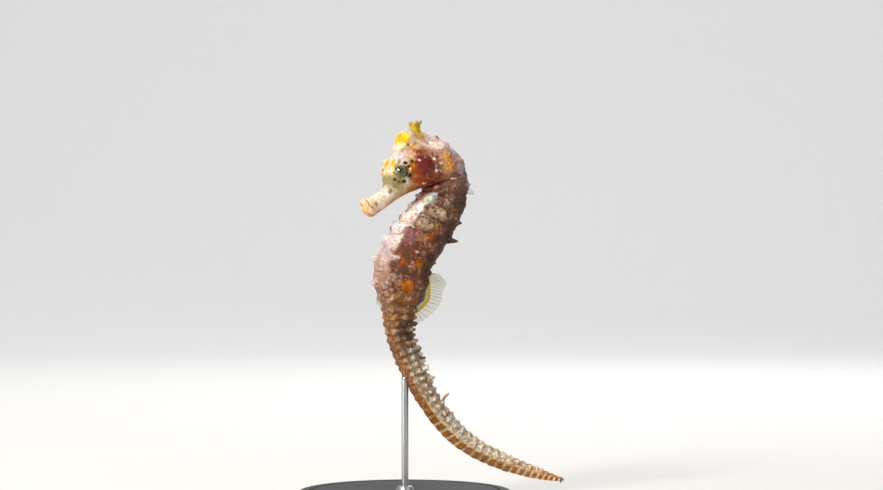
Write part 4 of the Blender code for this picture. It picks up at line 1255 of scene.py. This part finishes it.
def eyelid(side, steps=64, sides=12):
    """The thick wrinkled rim of skin round an eyeball, following the skin about it."""
    head = front_places[front.grid_ring < 0.0]
    head = head[head[:, 1] * side > 2.0]
    angles = np.arange(steps) / steps * 2 * math.pi
    heights = []
    for angle in angles:
        away = from_side(head, EYE_PLACE[0] + LID_FOOT_RADIUS * math.cos(angle),
                         EYE_PLACE[2] + LID_FOOT_RADIUS * math.sin(angle))
        heights.append(np.abs(head[np.argsort(away)[:6], 1]).mean())
    heights = np.array(heights)
    for _ in range(8):
        heights = heights * 0.5 + (np.roll(heights, 1) + np.roll(heights, -1)) * 0.25
    points, faces = [], []
    for step, angle in enumerate(angles):
        out = np.array((math.cos(angle), 0.0, math.sin(angle)))
        up = np.array((0.0, float(side), 0.0))
        # The rim is folded all round, and thickest ahead of the eye.
        fold = noise.noise(Vector((math.cos(angle), math.sin(angle), side)) * 4.0)
        ahead = max(0.0, math.cos(angle)) ** 2
        thick = 0.21 + 0.05 * fold + 0.13 * ahead
        centre = np.array((EYE_PLACE[0], side * (heights[step] - 0.08 + 0.10 * ahead), EYE_PLACE[2]))
        centre = centre + out * (LID_RADIUS + 0.05 * fold)
        for j in range(sides):
            a = 2 * math.pi * j / sides
            points.append(centre + thick * (out * math.cos(a) * 1.15 + up * math.sin(a)))
    for i in range(steps):
        quads = band(i * sides, (i + 1) % steps * sides, sides)
        faces += quads if side < 0 else [quad[::-1] for quad in quads]
    points = np.array(points)
    colours = np.tile(linear("#D2C08E"), (len(points), 1))
    colours = over(colours, "#B0682C", smooth_step(EYE_PLACE[0] - points[:, 0], 0.6, 1.9))
    colours = over(colours, "#8E8450", 0.7 * smooth_step(EYE_PLACE[2] - points[:, 2], 0.4, 1.9))
    inner = from_eye(points) < LID_RADIUS - 0.03
    return points, faces, over(colours, "#57502C", 0.75 * inner)


def on_skin(ring, degrees):
    """The point of the skin at this ring and angle."""
    skin, places = (front, front_places) if ring < TRUNK_RINGS else (rear, rear_places)
    row = np.argmin(np.abs(skin.ring - ring))
    column = np.argmin(np.abs(np.degrees(skin.angle[row]) - degrees))
    return places[row, column]


def turn_outward(made):
    """Turns every face of a closed mesh outward."""
    edit = bmesh.new()
    edit.from_mesh(made.data)
    bmesh.ops.recalc_face_normals(edit, faces=edit.faces)
    edit.to_mesh(made.data)
    edit.free()


def nearest(places):
    """A search tree over these points."""
    tree = KDTree(len(places))
    for index, place in enumerate(places):
        tree.insert(place, index)
    tree.balance()
    return tree


def join_to(skin, places, colours, pebbling, pieces):
    """Unites these closed pieces with the skin. At its foot each takes the skin's colour."""
    below = nearest(places)
    points, faces, shades = [], [], []
    for piece_points, piece_faces, piece_colours, fade in pieces:
        start = sum(len(p) for p in points)
        points.append(piece_points)
        faces += [tuple(start + corner for corner in face) for face in piece_faces]
        found = [below.find(point) for point in piece_points]
        under = colours[[index for _, index, _ in found]]
        away = np.array([distance for _, _, distance in found])
        share = 1.0 - smooth_step(away, 0.25 * fade, fade)
        shades.append(piece_colours + (under - piece_colours) * share[:, None])
    points = np.concatenate(points)
    extra = mesh_object("growths", in_world(points), faces)
    turn_outward(extra)
    union = skin.modifiers.new("union", "BOOLEAN")
    union.operation = "UNION"
    union.solver = "MANIFOLD"
    union.object = extra
    graph = bpy.context.evaluated_depsgraph_get()
    mesh = bpy.data.meshes.new_from_object(skin.evaluated_get(graph))
    skin.modifiers.clear()
    skin.data = mesh
    bpy.data.objects.remove(extra)
    # Every point takes the colour of the point nearest to it before the union.
    before = nearest(in_world(np.concatenate((places, points))))
    kept = [before.find(vertex.co)[1] for vertex in mesh.vertices]
    colours = np.concatenate((colours, *shades))[kept]
    layer = mesh.attributes.new("markings", "FLOAT_COLOR", "POINT")
    layer.data.foreach_set("color", np.asarray(colours, np.float32).ravel())
    pebbling = np.concatenate((pebbling, np.full(len(points), 0.5)))[kept]
    layer = mesh.attributes.new("pebbling", "FLOAT", "POINT")
    layer.data.foreach_set("value", np.asarray(pebbling, np.float32))


def skin_material():
    """Moist leathery skin over bone: the markings, mottled, speckled and finely pebbled."""
    made, tree, shader = new_material(
        "moist seahorse skin", Roughness=0.5, IOR=1.33, Subsurface_Weight=0.15,
        Subsurface_Radius=(1.0, 0.45, 0.25), Subsurface_Scale=0.35 * MM,
    )
    markings = add(tree, "Attribute", attribute_name="markings")
    metres = add(tree, "TexCoord").outputs["Object"]
    place = add(tree, "VectorMath", {0: metres, "Scale": 1.0 / MM}, operation="SCALE").outputs[0]

    # Mottling in blotches of 1 mm and of 0.3 mm.
    broad = add(tree, "TexNoise", {"Vector": place, "Scale": 0.9, "Detail": 4.0, "Roughness": 0.65})
    fine = add(tree, "TexNoise", {"Vector": place, "Scale": 3.2, "Detail": 4.0, "Roughness": 0.6})
    both = add(tree, "Math", {0: broad.outputs[0], 1: fine.outputs[0]}, operation="ADD")
    shade = add(tree, "MapRange", {"Value": both.outputs[0], "From Min": 0.74, "From Max": 1.26,
                                   "To Min": 0.42, "To Max": 1.5})
    grey = add(tree, "CombineXYZ", {"X": shade.outputs[0], "Y": shade.outputs[0],
                                    "Z": shade.outputs[0]})
    mottled = add(tree, "Mix", {0: 0.85, 6: markings.outputs["Color"], 7: grey.outputs[0]},
                  data_type="RGBA", blend_type="MULTIPLY")
    # Faint drifts of rose and of olive, 3 mm wide.
    drift = add(tree, "TexNoise", {"Vector": place, "Scale": 0.33, "Detail": 3.0})
    tint = add(tree, "ValToRGB", {"Fac": drift.outputs[0]},
               stops=((0.38, "#B7B08C"), (0.62, "#D8A394")))
    tinted = add(tree, "Mix", {0: 0.03, 6: mottled.outputs[2], 7: tint.outputs[0]},
                 data_type="RGBA")
    # The moist film deepens every colour under it.
    tinted = add(tree, "HueSaturation", {"Color": tinted.outputs[2], "Saturation": 1.16})

    def specks(below, scale, radius, colour, amount):
        """Round specks of one colour, here and there, over the colour below."""
        cells = add(tree, "TexVoronoi", {"Vector": place, "Scale": scale, "Randomness": 1.0})
        chosen = add(tree, "SeparateXYZ", {"Vector": cells.outputs["Color"]})
        few = add(tree, "Math", {0: chosen.outputs[0], 1: amount}, operation="LESS_THAN")
        smaller = add(tree, "Math", {0: chosen.outputs[1], 1: radius * 0.7,
                                     2: cells.outputs["Distance"]}, operation="MULTIPLY_ADD")
        disc = add(tree, "MapRange", {"Value": smaller.outputs[0], "From Min": radius,
                                      "From Max": radius * 0.6})
        weight = add(tree, "Math", {0: disc.outputs[0], 1: few.outputs[0]}, operation="MULTIPLY")
        return add(tree, "Mix", {0: weight.outputs[0], 6: below, 7: linear(colour)},
                   data_type="RGBA").outputs[2]

    # Dark specks 0.5 mm wide, red-brown ones of 0.3 mm and white ones of 0.4 mm.
    speckled = specks(tinted.outputs[0], 0.8, 0.20, "#46281C", 0.16)
    speckled = specks(speckled, 1.9, 0.30, "#7E4A2C", 0.16)
    speckled = specks(speckled, 0.9, 0.18, "#F1E8DC", 0.14)
    tree.links.new(speckled, shader.inputs["Base Color"])

    # Pebbles 0.4 mm across, and a grain finer still.
    pebbles = add(tree, "TexVoronoi", {"Vector": place, "Scale": 2.6, "Smoothness": 0.4},
                  feature="SMOOTH_F1")
    rounded_up = add(tree, "Math", {0: 1.0, 1: pebbles.outputs["Distance"]}, operation="SUBTRACT")
    grain = add(tree, "TexNoise", {"Vector": place, "Scale": 9.0, "Detail": 3.0})
    relief = add(tree, "Math", {0: grain.outputs[0], 1: 0.35, 2: rounded_up.outputs[0]},
                 operation="MULTIPLY_ADD")
    pebbling = add(tree, "Attribute", attribute_name="pebbling")
    bump = add(tree, "Bump", {"Height": relief.outputs[0], "Strength": pebbling.outputs["Fac"],
                              "Distance": 0.18 * MM})
    tree.links.new(bump.outputs[0], shader.inputs["Normal"])
    # Where it is smooth it stays wet, so the gloss comes and goes.
    wet = add(tree, "MapRange", {"Value": broad.outputs[0], "From Min": 0.35, "From Max": 0.65,
                                 "To Min": 0.36, "To Max": 0.62})
    tree.links.new(wet.outputs[0], shader.inputs["Roughness"])
    return made


# The last number of each is how far from the skin, in millimetres, it still takes its colour.
growths = [(*coronet(), 0.4), (*eyelid(1), 0.35), (*eyelid(-1), 0.35)]
for root, way, *shape in PAIRED_SPINES:
    for side in (1, -1):
        mirrored = np.array((1.0, side, 1.0))
        growths.append((*spine(np.array(root) * mirrored, np.array(way) * mirrored, *shape), 0.4))
for at, degrees, way, *shape in BODY_SPINES:
    growths.append((*spine(on_skin(at, degrees), way, *shape), 0.4))
# The face is smoother than the body.
rows = np.concatenate((np.full(len(LIPS), ring[0]), ring[:last_trunk + 1]))
rows = np.concatenate((np.repeat(rows, BODY_SIDES), np.repeat(ring[last_trunk + 1:], TAIL_SIDES)))
pebbling = np.full(len(points), 0.8)
pebbling[:len(rows)] = 0.38 + 0.62 * smooth_step(rows, -1.0, 2.0)
skin = mesh_object("skin", in_world(points), faces, skin_material())
join_to(skin, points, body_colours, pebbling, growths)
skin.data.set_sharp_from_angle(angle=math.radians(60))
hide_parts("snout", "head", "gill_cover_left", "gill_cover_right", "neck", "trunk_upper",
            "trunk_middle", "trunk_lower", "tail_1", "tail_2", "tail_3", "tail_4", "tail_5",
            "tail_6", "coronet")
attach(skin, "root")

# ---------------------------------------------------------------------------------------------
# The eyes: glass balls as a model maker sets them, the iris painted behind and the lens standing
# out a little in front. Dark streaks run out from the pupil and break up its outline.
EYE_STEPS = 48
EYE_AIM = np.array((0.42, 0.90, 0.02))  # forward, left, up
EYE_FLATTENING = 0.02
LENS_RADIUS = 0.62
LENS_RISE = 0.12
# Rings of the iris, from the pupil outwards: share of the eye's radius where each is full.
IRIS_RINGS = ((0.30, "#030304"), (0.35, "#8A782A"), (0.41, "#24382F"), (0.56, "#44604E"),
              (0.70, "#6A7038"), (0.88, "#80763E"))
LEFT_AND_RIGHT = (("left", 1), ("right", -1))


def eye_material(name, centre, aside, upward):
    """Painted glass: black pupil, thin gold ring, dark green iris with streaks, olive rim."""
    made, tree, shader = new_material(
        name, Roughness=0.25, Coat_Weight=1.0, Coat_Roughness=0.03, IOR=1.45,
    )
    place = add(tree, "TexCoord").outputs["Object"]
    from_centre = add(tree, "VectorMath", {0: place, 1: tuple(centre)}, operation="SUBTRACT")
    sides = []
    for way in (aside, upward):
        on_side = add(tree, "VectorMath", {0: from_centre.outputs[0], 1: tuple(way / MM)},
                      operation="DOT_PRODUCT")
        sides.append(on_side.outputs["Value"])
    flat = add(tree, "CombineXYZ", {"X": sides[0], "Y": sides[1]})
    # A noise makes the rings of the iris uneven.
    wobble = add(tree, "TexNoise", {"Vector": flat.outputs[0], "Scale": 2.2, "Detail": 3.0})
    radius = add(tree, "VectorMath", {0: flat.outputs[0]}, operation="LENGTH")
    uneven = add(tree, "Math", {0: wobble.outputs[0], 1: 0.55, 2: -0.275}, operation="MULTIPLY_ADD")
    reach = add(tree, "Math", {0: radius.outputs["Value"], 1: uneven.outputs[0]}, operation="ADD")
    share = add(tree, "Math", {0: reach.outputs[0], 1: EYE_RADIUS}, operation="DIVIDE")
    rings = add(tree, "ValToRGB", {"Fac": share.outputs[0]}, stops=IRIS_RINGS)
    # Streaks: a noise drawn out along the radius, gone before the rim.
    way = add(tree, "VectorMath", {0: flat.outputs[0]}, operation="NORMALIZE")
    slow = add(tree, "VectorMath", {0: flat.outputs[0], "Scale": 0.35}, operation="SCALE")
    drawn = add(tree, "VectorMath", {0: way.outputs[0], 1: slow.outputs[0]}, operation="ADD")
    streaks = add(tree, "TexNoise", {"Vector": drawn.outputs[0], "Scale": 2.1, "Detail": 2.0,
                                     "Roughness": 0.6})
    dark = add(tree, "MapRange", {"Value": streaks.outputs[0], "From Min": 0.475, "From Max": 0.53})
    within = add(tree, "MapRange", {"Value": share.outputs[0], "From Min": 0.80, "From Max": 0.95,
                                    "To Min": 1.0, "To Max": 0.0})
    dark = add(tree, "Math", {0: dark.outputs[0], 1: within.outputs[0]}, operation="MULTIPLY")
    painted = add(tree, "Mix", {0: dark.outputs[0], 6: rings.outputs[0], 7: linear("#06080A")},
                  data_type="RGBA")
    # Gold flecks 0.2 mm wide, outside the pupil.
    flecks = add(tree, "TexNoise", {"Vector": flat.outputs[0], "Scale": 4.5, "Detail": 2.0})
    bright = add(tree, "MapRange", {"Value": flecks.outputs[0], "From Min": 0.55,
                                    "From Max": 0.62, "To Max": 0.8})
    inside = add(tree, "MapRange", {"Value": reach.outputs[0], "From Min": 0.75, "From Max": 0.95})
    gold = add(tree, "Math", {0: bright.outputs[0], 1: inside.outputs[0]}, operation="MULTIPLY")
    flecked = add(tree, "Mix", {0: gold.outputs[0], 6: painted.outputs[2], 7: linear("#A39A35")},
                  data_type="RGBA")
    tree.links.new(flecked.outputs[2], shader.inputs["Base Color"])
    return made


def make_eye(label, side):
    mirrored = np.array((1.0, side, 1.0))
    aim = unit(EYE_AIM * mirrored)
    upward = unit(np.array((0.0, 0.0, 1.0)) - aim * aim[2])
    aside = np.cross(upward, aim)
    centre = EYE_PLACE * mirrored
    profile = []
    for turn in np.linspace(0.0, math.pi, EYE_STEPS):
        out = EYE_RADIUS * math.sin(turn)
        lens = LENS_RISE * math.exp(-(out / LENS_RADIUS) ** 4) * (turn < 1.5)
        rise = (EYE_RADIUS - EYE_FLATTENING) * math.cos(turn) + lens
        profile.append((0.0 if turn in (0.0, math.pi) else out, rise))
    points, faces = turned(profile, EYE_STEPS)
    points = centre + points[:, :1] * aside + points[:, 1:2] * upward + points[:, 2:] * aim
    glass = eye_material("painted glass eye " + label, in_world(centre), in_world(aside) / MM,
                         in_world(upward) / MM)
    eye = mesh_object("eyeball_" + label, in_world(points), faces, glass)
    turn_outward(eye)
    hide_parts("eye_" + label)
    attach(eye, "root")


for label, side in LEFT_AND_RIGHT:
    make_eye(label, side)

# ---------------------------------------------------------------------------------------------
# The fins: a film thinner than paper stretched between soft rays. The one on the back has
# nineteen rays on a fleshy foot; a small fan stands behind each gill and a tiny one under the
# belly. The rays are drawn by one node tree, as tapered tubes along their middle lines.
RAY_POINTS = 14
RAY_SIDES = 8
RAY_TIP_SHARE = 0.35  # of the thickness at its root
RAY_JOINT_WAVE = 88.0  # radians along a ray, which give it fourteen joints
FILM_THICKNESS = 0.05
DORSAL_FIN_RAYS = 19
DORSAL_RAY_LENGTHS = (4.4, 6.8, 6.7, 7.1, 4.8)  # millimetres from the body's edge
DORSAL_RAY_THICKNESS = 0.20
DORSAL_RIPPLE = 0.32
FIN_FOOT_WIDTHS = (0.9, 1.4, 2.1, 3.3, 1.8)
FIN_FOOT_THICKNESS = 0.42
ANAL_FIN_RAYS = 4
ANAL_FIN_START = 9.9  # rings
ANAL_FIN_SPAN = 0.4
ANAL_RAY_LENGTH = 4.4
ANAL_RAY_THICKNESS = 0.16
PECTORAL_FIN_RAYS = 11
PECTORAL_FIN_ROOT = (-7.3, 5.2, 98.0)  # forward, left, up of the first ray
PECTORAL_FIN_DROP = 3.4  # from the first ray to the last
PECTORAL_RAY_LENGTH = 2.4
PECTORAL_RAY_THICKNESS = 0.15
LEFTWARD = np.array((0.0, 1.0, 0.0))


def ray_tree():
    """A tree that turns a wire into tubes: inputs for the thickness, the taper and the finish."""
    tree = bpy.data.node_groups.new("fin ray tubes", "GeometryNodeTree")
    for name, kind in (("Geometry", "Geometry"), ("Thickness", "Float"), ("Tip share", "Float"),
                       ("Sides", "Int"), ("Finish", "Material")):
        tree.interface.new_socket(name, in_out="INPUT", socket_type="NodeSocket" + kind)
    tree.interface.new_socket("Geometry", in_out="OUTPUT", socket_type="NodeSocketGeometry")
    given = add(tree, "NodeGroupInput").outputs
    half = add(tree, "Math", {0: given["Thickness"], 1: 0.5}, operation="MULTIPLY")
    thin = add(tree, "Math", {0: half.outputs[0], 1: given["Tip share"]}, operation="MULTIPLY")
    along = add(tree, "GeometryNodeInputNamedAttribute", {"Name": "along"}, data_type="FLOAT")
    radius = add(tree, "MapRange", {"Value": along.outputs["Attribute"],
                                    "To Min": half.outputs[0], "To Max": thin.outputs[0]})
    wire = add(tree, "GeometryNodeMeshToCurve", {"Mesh": given["Geometry"]})
    sized = add(tree, "GeometryNodeSetCurveRadius", {"Curve": wire.outputs[0],
                                                     "Radius": radius.outputs[0]})
    circle = add(tree, "GeometryNodeCurvePrimitiveCircle", {"Resolution": given["Sides"],
                                                            "Radius": 1.0})
    width = add(tree, "GeometryNodeInputRadius")
    tubes = add(tree, "GeometryNodeCurveToMesh", {"Curve": sized.outputs[0],
                                                  "Profile Curve": circle.outputs["Curve"],
                                                  "Scale": width.outputs[0],
                                                  "Fill Caps": True})
    smooth = add(tree, "GeometryNodeSetShadeSmooth", {"Geometry": tubes.outputs[0]})
    real = add(tree, "GeometryNodeRealizeInstances", {"Geometry": smooth.outputs[0]})
    finish = add(tree, "GeometryNodeSetMaterial", {"Geometry": real.outputs[0],
                                                   "Material": given["Finish"]})
    add(tree, "NodeGroupOutput", {"Geometry": finish.outputs[0]})
    return tree


RAY_TREE = ray_tree()


def fin_rays(name, rays, thickness, finish):
    """Tapered tubes along these rays, each a row of points from root to tip."""
    count = len(rays[0])
    wire = bpy.data.meshes.new(name + "_wire")
    edges = [(r * count + i, r * count + i + 1) for r in range(len(rays)) for i in range(count - 1)]
    wire.from_pydata(in_world(np.concatenate(rays)).tolist(), edges, [])
    along = wire.attributes.new("along", "FLOAT", "POINT")
    along.data.foreach_set("value", np.tile(np.linspace(0.0, 1.0, count), len(rays)))
    source = bpy.data.objects.new(name, wire)
    bpy.context.scene.collection.objects.link(source)
    modifier = source.modifiers.new("rays", "NODES")
    modifier.node_group = RAY_TREE
    values = {"Thickness": thickness * MM, "Tip share": RAY_TIP_SHARE, "Sides": RAY_SIDES,
              "Finish": finish}
    for socket in RAY_TREE.interface.items_tree:
        if socket.in_out == "INPUT" and socket.name in values:
            modifier[socket.identifier] = values[socket.name]
    source.update_tag()
    graph = bpy.context.evaluated_depsgraph_get()
    mesh = bpy.data.meshes.new_from_object(source.evaluated_get(graph), depsgraph=graph)
    source.modifiers.clear()
    source.data = mesh
    return source


def fin_film(name, rays, out, finish, across=5, scallop=0.05, thickness=FILM_THICKNESS):
    """The film between the rays: a closed sheet that bows a little between each pair."""
    count = len(rays)
    sheet = []
    for step in range((count - 1) * across + 1):
        index, part = divmod(step, across)
        part /= across
        first, second = rays[min(index, count - 1)], rays[min(index + 1, count - 1)]
        middle = first * (1.0 - part) + second * part
        dip = math.sin(math.pi * part)
        shorter = 1.0 - scallop * dip
        column = middle[0] + (middle - middle[0]) * shorter
        sheet.append(column + out * (1.2 * scallop * dip * (1 if index % 2 else -1)))
    sheet = np.array(sheet)
    walls = np.concatenate((sheet + out * thickness / 2, sheet - out * thickness / 2))
    width, length = sheet.shape[:2]

    def at(wall, i, j):
        return (wall * width + i) * length + j

    faces = []
    for i in range(width - 1):
        for j in range(length - 1):
            faces.append((at(0, i, j), at(0, i + 1, j), at(0, i + 1, j + 1), at(0, i, j + 1)))
            faces.append((at(1, i, j), at(1, i, j + 1), at(1, i + 1, j + 1), at(1, i + 1, j)))
    border = [(i, 0) for i in range(width)] + [(width - 1, j) for j in range(1, length)]
    border += [(i, length - 1) for i in range(width - 2, -1, -1)]
    border += [(0, j) for j in range(length - 2, 0, -1)]
    for (a, b), (c, d) in zip(border, border[1:] + border[:1]):
        faces.append((at(0, c, d), at(0, a, b), at(1, a, b), at(1, c, d)))
    made = mesh_object(name, in_world(walls.reshape(-1, 3)), faces, finish)
    turn_outward(made)
    along = made.data.attributes.new("along", "FLOAT", "POINT")
    along.data.foreach_set("value", np.tile(np.linspace(0.0, 1.0, length), width * 2))
    return made


def film_material(name, root_colour, tip_colour, alpha):
    """A wet film: nearly clear, with a tint that is deeper at the root."""
    made, tree, shader = new_material(name, Roughness=0.35, Alpha=alpha, IOR=1.4)
    along = add(tree, "Attribute", attribute_name="along")
    place = add(tree, "TexCoord").outputs["Object"]
    # Faint veins 0.5 mm apart.
    veins = add(tree, "TexNoise", {"Vector": place, "Scale": 2000.0, "Detail": 3.0})
    tone = add(tree, "ValToRGB", {"Fac": along.outputs["Fac"]},
               stops=((0.0, root_colour), (0.35, tip_colour)))
    veined = add(tree, "Mix", {0: veins.outputs[0], 6: tone.outputs[0], 7: linear("#E8DFC6")},
                 data_type="RGBA")
    tree.links.new(veined.outputs[2], shader.inputs["Base Color"])
    return made


def ray_material(name, stops, alpha=1.0):
    """Soft horny rays, coloured along their length and ringed where they are jointed."""
    made, tree, shader = new_material(name, Roughness=0.4, Alpha=alpha)
    along = add(tree, "Attribute", attribute_name="along")
    tone = add(tree, "ValToRGB", {"Fac": along.outputs["Fac"]}, stops=stops)
    joints = add(tree, "Math", {0: along.outputs["Fac"], 1: RAY_JOINT_WAVE},
                 operation="MULTIPLY")
    wave = add(tree, "Math", {0: joints.outputs[0]}, operation="SINE")
    dark = add(tree, "MapRange", {"Value": wave.outputs[0], "From Min": 0.4, "From Max": 1.0,
                                  "To Max": 0.35})
    ringed = add(tree, "Mix", {0: dark.outputs[0], 6: tone.outputs[0], 7: linear("#5B4A24")},
                 data_type="RGBA")
    tree.links.new(ringed.outputs[2], shader.inputs["Base Color"])
    return made


def column_at(place):
    """The section of the body at this place, counted in rings."""
    return np.array([np.interp(place, ring, column) for column in columns.T])


def arched(root, tip, sag, points=RAY_POINTS):
    """A gently bent line from root to tip."""
    t = np.linspace(0.0, 1.0, points)[:, None]
    return root + (tip - root) * t + sag * (t * (1.0 - t)) * 4.0


def add_fin(node, rays, out, thickness, ray_finish, film_finish):
    film = fin_film(node + "_film", rays, out, film_finish)
    bones = fin_rays(node + "_rays", rays, thickness, ray_finish)
    for piece in (film, bones):
        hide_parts(node)
        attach(piece, "root")


DORSAL_RAY = ray_material("dorsal fin ray", (
    (0.0, "#D2B81E"), (0.30, "#BCA01E"), (0.42, "#96802E"), (0.65, "#A08C50"), (1.0, "#BCAA76")))
DORSAL_FILM = film_material("dorsal fin film", "#D8CC58", "#DDD3AE", 0.24)


def dorsal_ray_places():
    """For each ray of the fin on the back: its share of the fin, the body's edge, out, its way."""
    start, end = DORSAL_FIN_RINGS
    for ray in range(DORSAL_FIN_RAYS):
        part = ray / (DORSAL_FIN_RAYS - 1)
        column = column_at(start + (end - start) * part)
        out = column[3:6]
        # The rays fan out towards the tail, and the last ones lie down.
        slope = math.radians(-10 - 4 * part - 57 * part ** 9)
        way = np.array((-math.cos(slope), 0.0, math.sin(slope)))
        yield part, column[:3] + out * column[9], out, way


def make_dorsal_fin():
    rays = []
    for part, edge, out, way in dorsal_ray_places():
        length = eased_over(DORSAL_RAY_LENGTHS, part)[0, 0]
        root, tip = edge + out * (FIN_FOOT_HEIGHT - 0.15), edge + way * length
        ripple = DORSAL_RIPPLE * math.sin(part * 9.0)
        tip = tip + np.array((0.0, ripple, 0.0))
        rays.append(arched(root, tip, np.array((0.0, 0.25 * ripple, -0.10))))
    add_fin("dorsal_fin", rays, LEFTWARD, DORSAL_RAY_THICKNESS, DORSAL_RAY, DORSAL_FILM)


def make_fin_foot():
    """The fleshy wall that the fin's rays stand on, with a yellow line along its top."""
    flesh, tree, shader = new_material("fin foot", Roughness=0.42)
    along = add(tree, "Attribute", attribute_name="along")
    place = add(tree, "TexCoord").outputs["Object"]
    # Blotches 0.8 mm wide.
    blotches = add(tree, "TexNoise", {"Vector": place, "Scale": 1250.0, "Detail": 3.0})
    uneven = add(tree, "Math", {0: blotches.outputs[0], 1: 0.30, 2: along.outputs["Fac"]},
                 operation="MULTIPLY_ADD")
    tone = add(tree, "ValToRGB", {"Fac": uneven.outputs[0]},
               stops=((0.45, "#4E3A28"), (0.60, "#B4BCB0"), (0.80, "#C2C694"), (0.88, "#D8B410")))
    tree.links.new(tone.outputs[0], shader.inputs["Base Color"])
    rays = []
    for part, edge, _, way in dorsal_ray_places():
        height = eased_over(FIN_FOOT_WIDTHS, part)[0, 0]
        rays.append(arched(edge - way * 0.4, edge + way * height, np.zeros(3), 8))
    foot = fin_film("dorsal_fin_foot", rays, LEFTWARD, flesh, across=3, scallop=0.0,
                    thickness=FIN_FOOT_THICKNESS)
    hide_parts("dorsal_fin")
    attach(foot, "root")


ANAL_RAY = ray_material("anal fin ray", ((0.0, "#6E5C45"), (1.0, "#8D8270")))
ANAL_FILM = film_material("anal fin film", "#8F8168", "#B9AE98", 0.2)


def make_anal_fin():
    rays = []
    for ray in range(ANAL_FIN_RAYS):
        part = ray / (ANAL_FIN_RAYS - 1)
        column = column_at(ANAL_FIN_START + ANAL_FIN_SPAN * part)
        edge = column[:3] - column[3:6] * column[9]
        slope = math.radians(-80 - 12 * part)
        way = np.array((math.cos(slope), 0.0, math.sin(slope)))
        root = edge - np.array((0.3, 0.0, -0.4))
        tip = edge + way * (ANAL_RAY_LENGTH - 0.6 * part)
        rays.append(arched(root, tip, np.array((0.15, 0.0, 0.0))))
    add_fin("anal_fin", rays, LEFTWARD, ANAL_RAY_THICKNESS, ANAL_RAY, ANAL_FILM)


PECTORAL_RAY = ray_material("pectoral fin ray", (
    (0.0, "#7A3E2A"), (0.5, "#A06848"), (1.0, "#C8A080")), 0.35)
PECTORAL_FILM = film_material("pectoral fin film", "#8A4832", "#C8A890", 0.07)


def make_pectoral_fin(label, side):
    rays = []
    forward, left, up = PECTORAL_FIN_ROOT
    for ray in range(PECTORAL_FIN_RAYS):
        part = ray / (PECTORAL_FIN_RAYS - 1)
        root = np.array((forward - 0.3 * part, side * left, up - PECTORAL_FIN_DROP * part))
        slope = math.radians(30 - 66 * part)
        way = unit(np.array((-math.cos(slope), side * 0.62, math.sin(slope))))
        tip = root + way * (PECTORAL_RAY_LENGTH + 0.9 * math.sin(math.pi * part))
        sway = np.array((0.0, side * (0.18 + 0.12 * math.sin(part * 7.0)), 0.0))
        rays.append(arched(root - way * 0.3, tip, sway))
    out = unit(np.array((0.53, side * 0.85, 0.0)))
    add_fin("pectoral_fin_" + label, rays, out, PECTORAL_RAY_THICKNESS, PECTORAL_RAY,
            PECTORAL_FILM)


make_dorsal_fin()
make_fin_foot()
make_anal_fin()
for label, side in LEFT_AND_RIGHT:
    make_pectoral_fin(label, side)
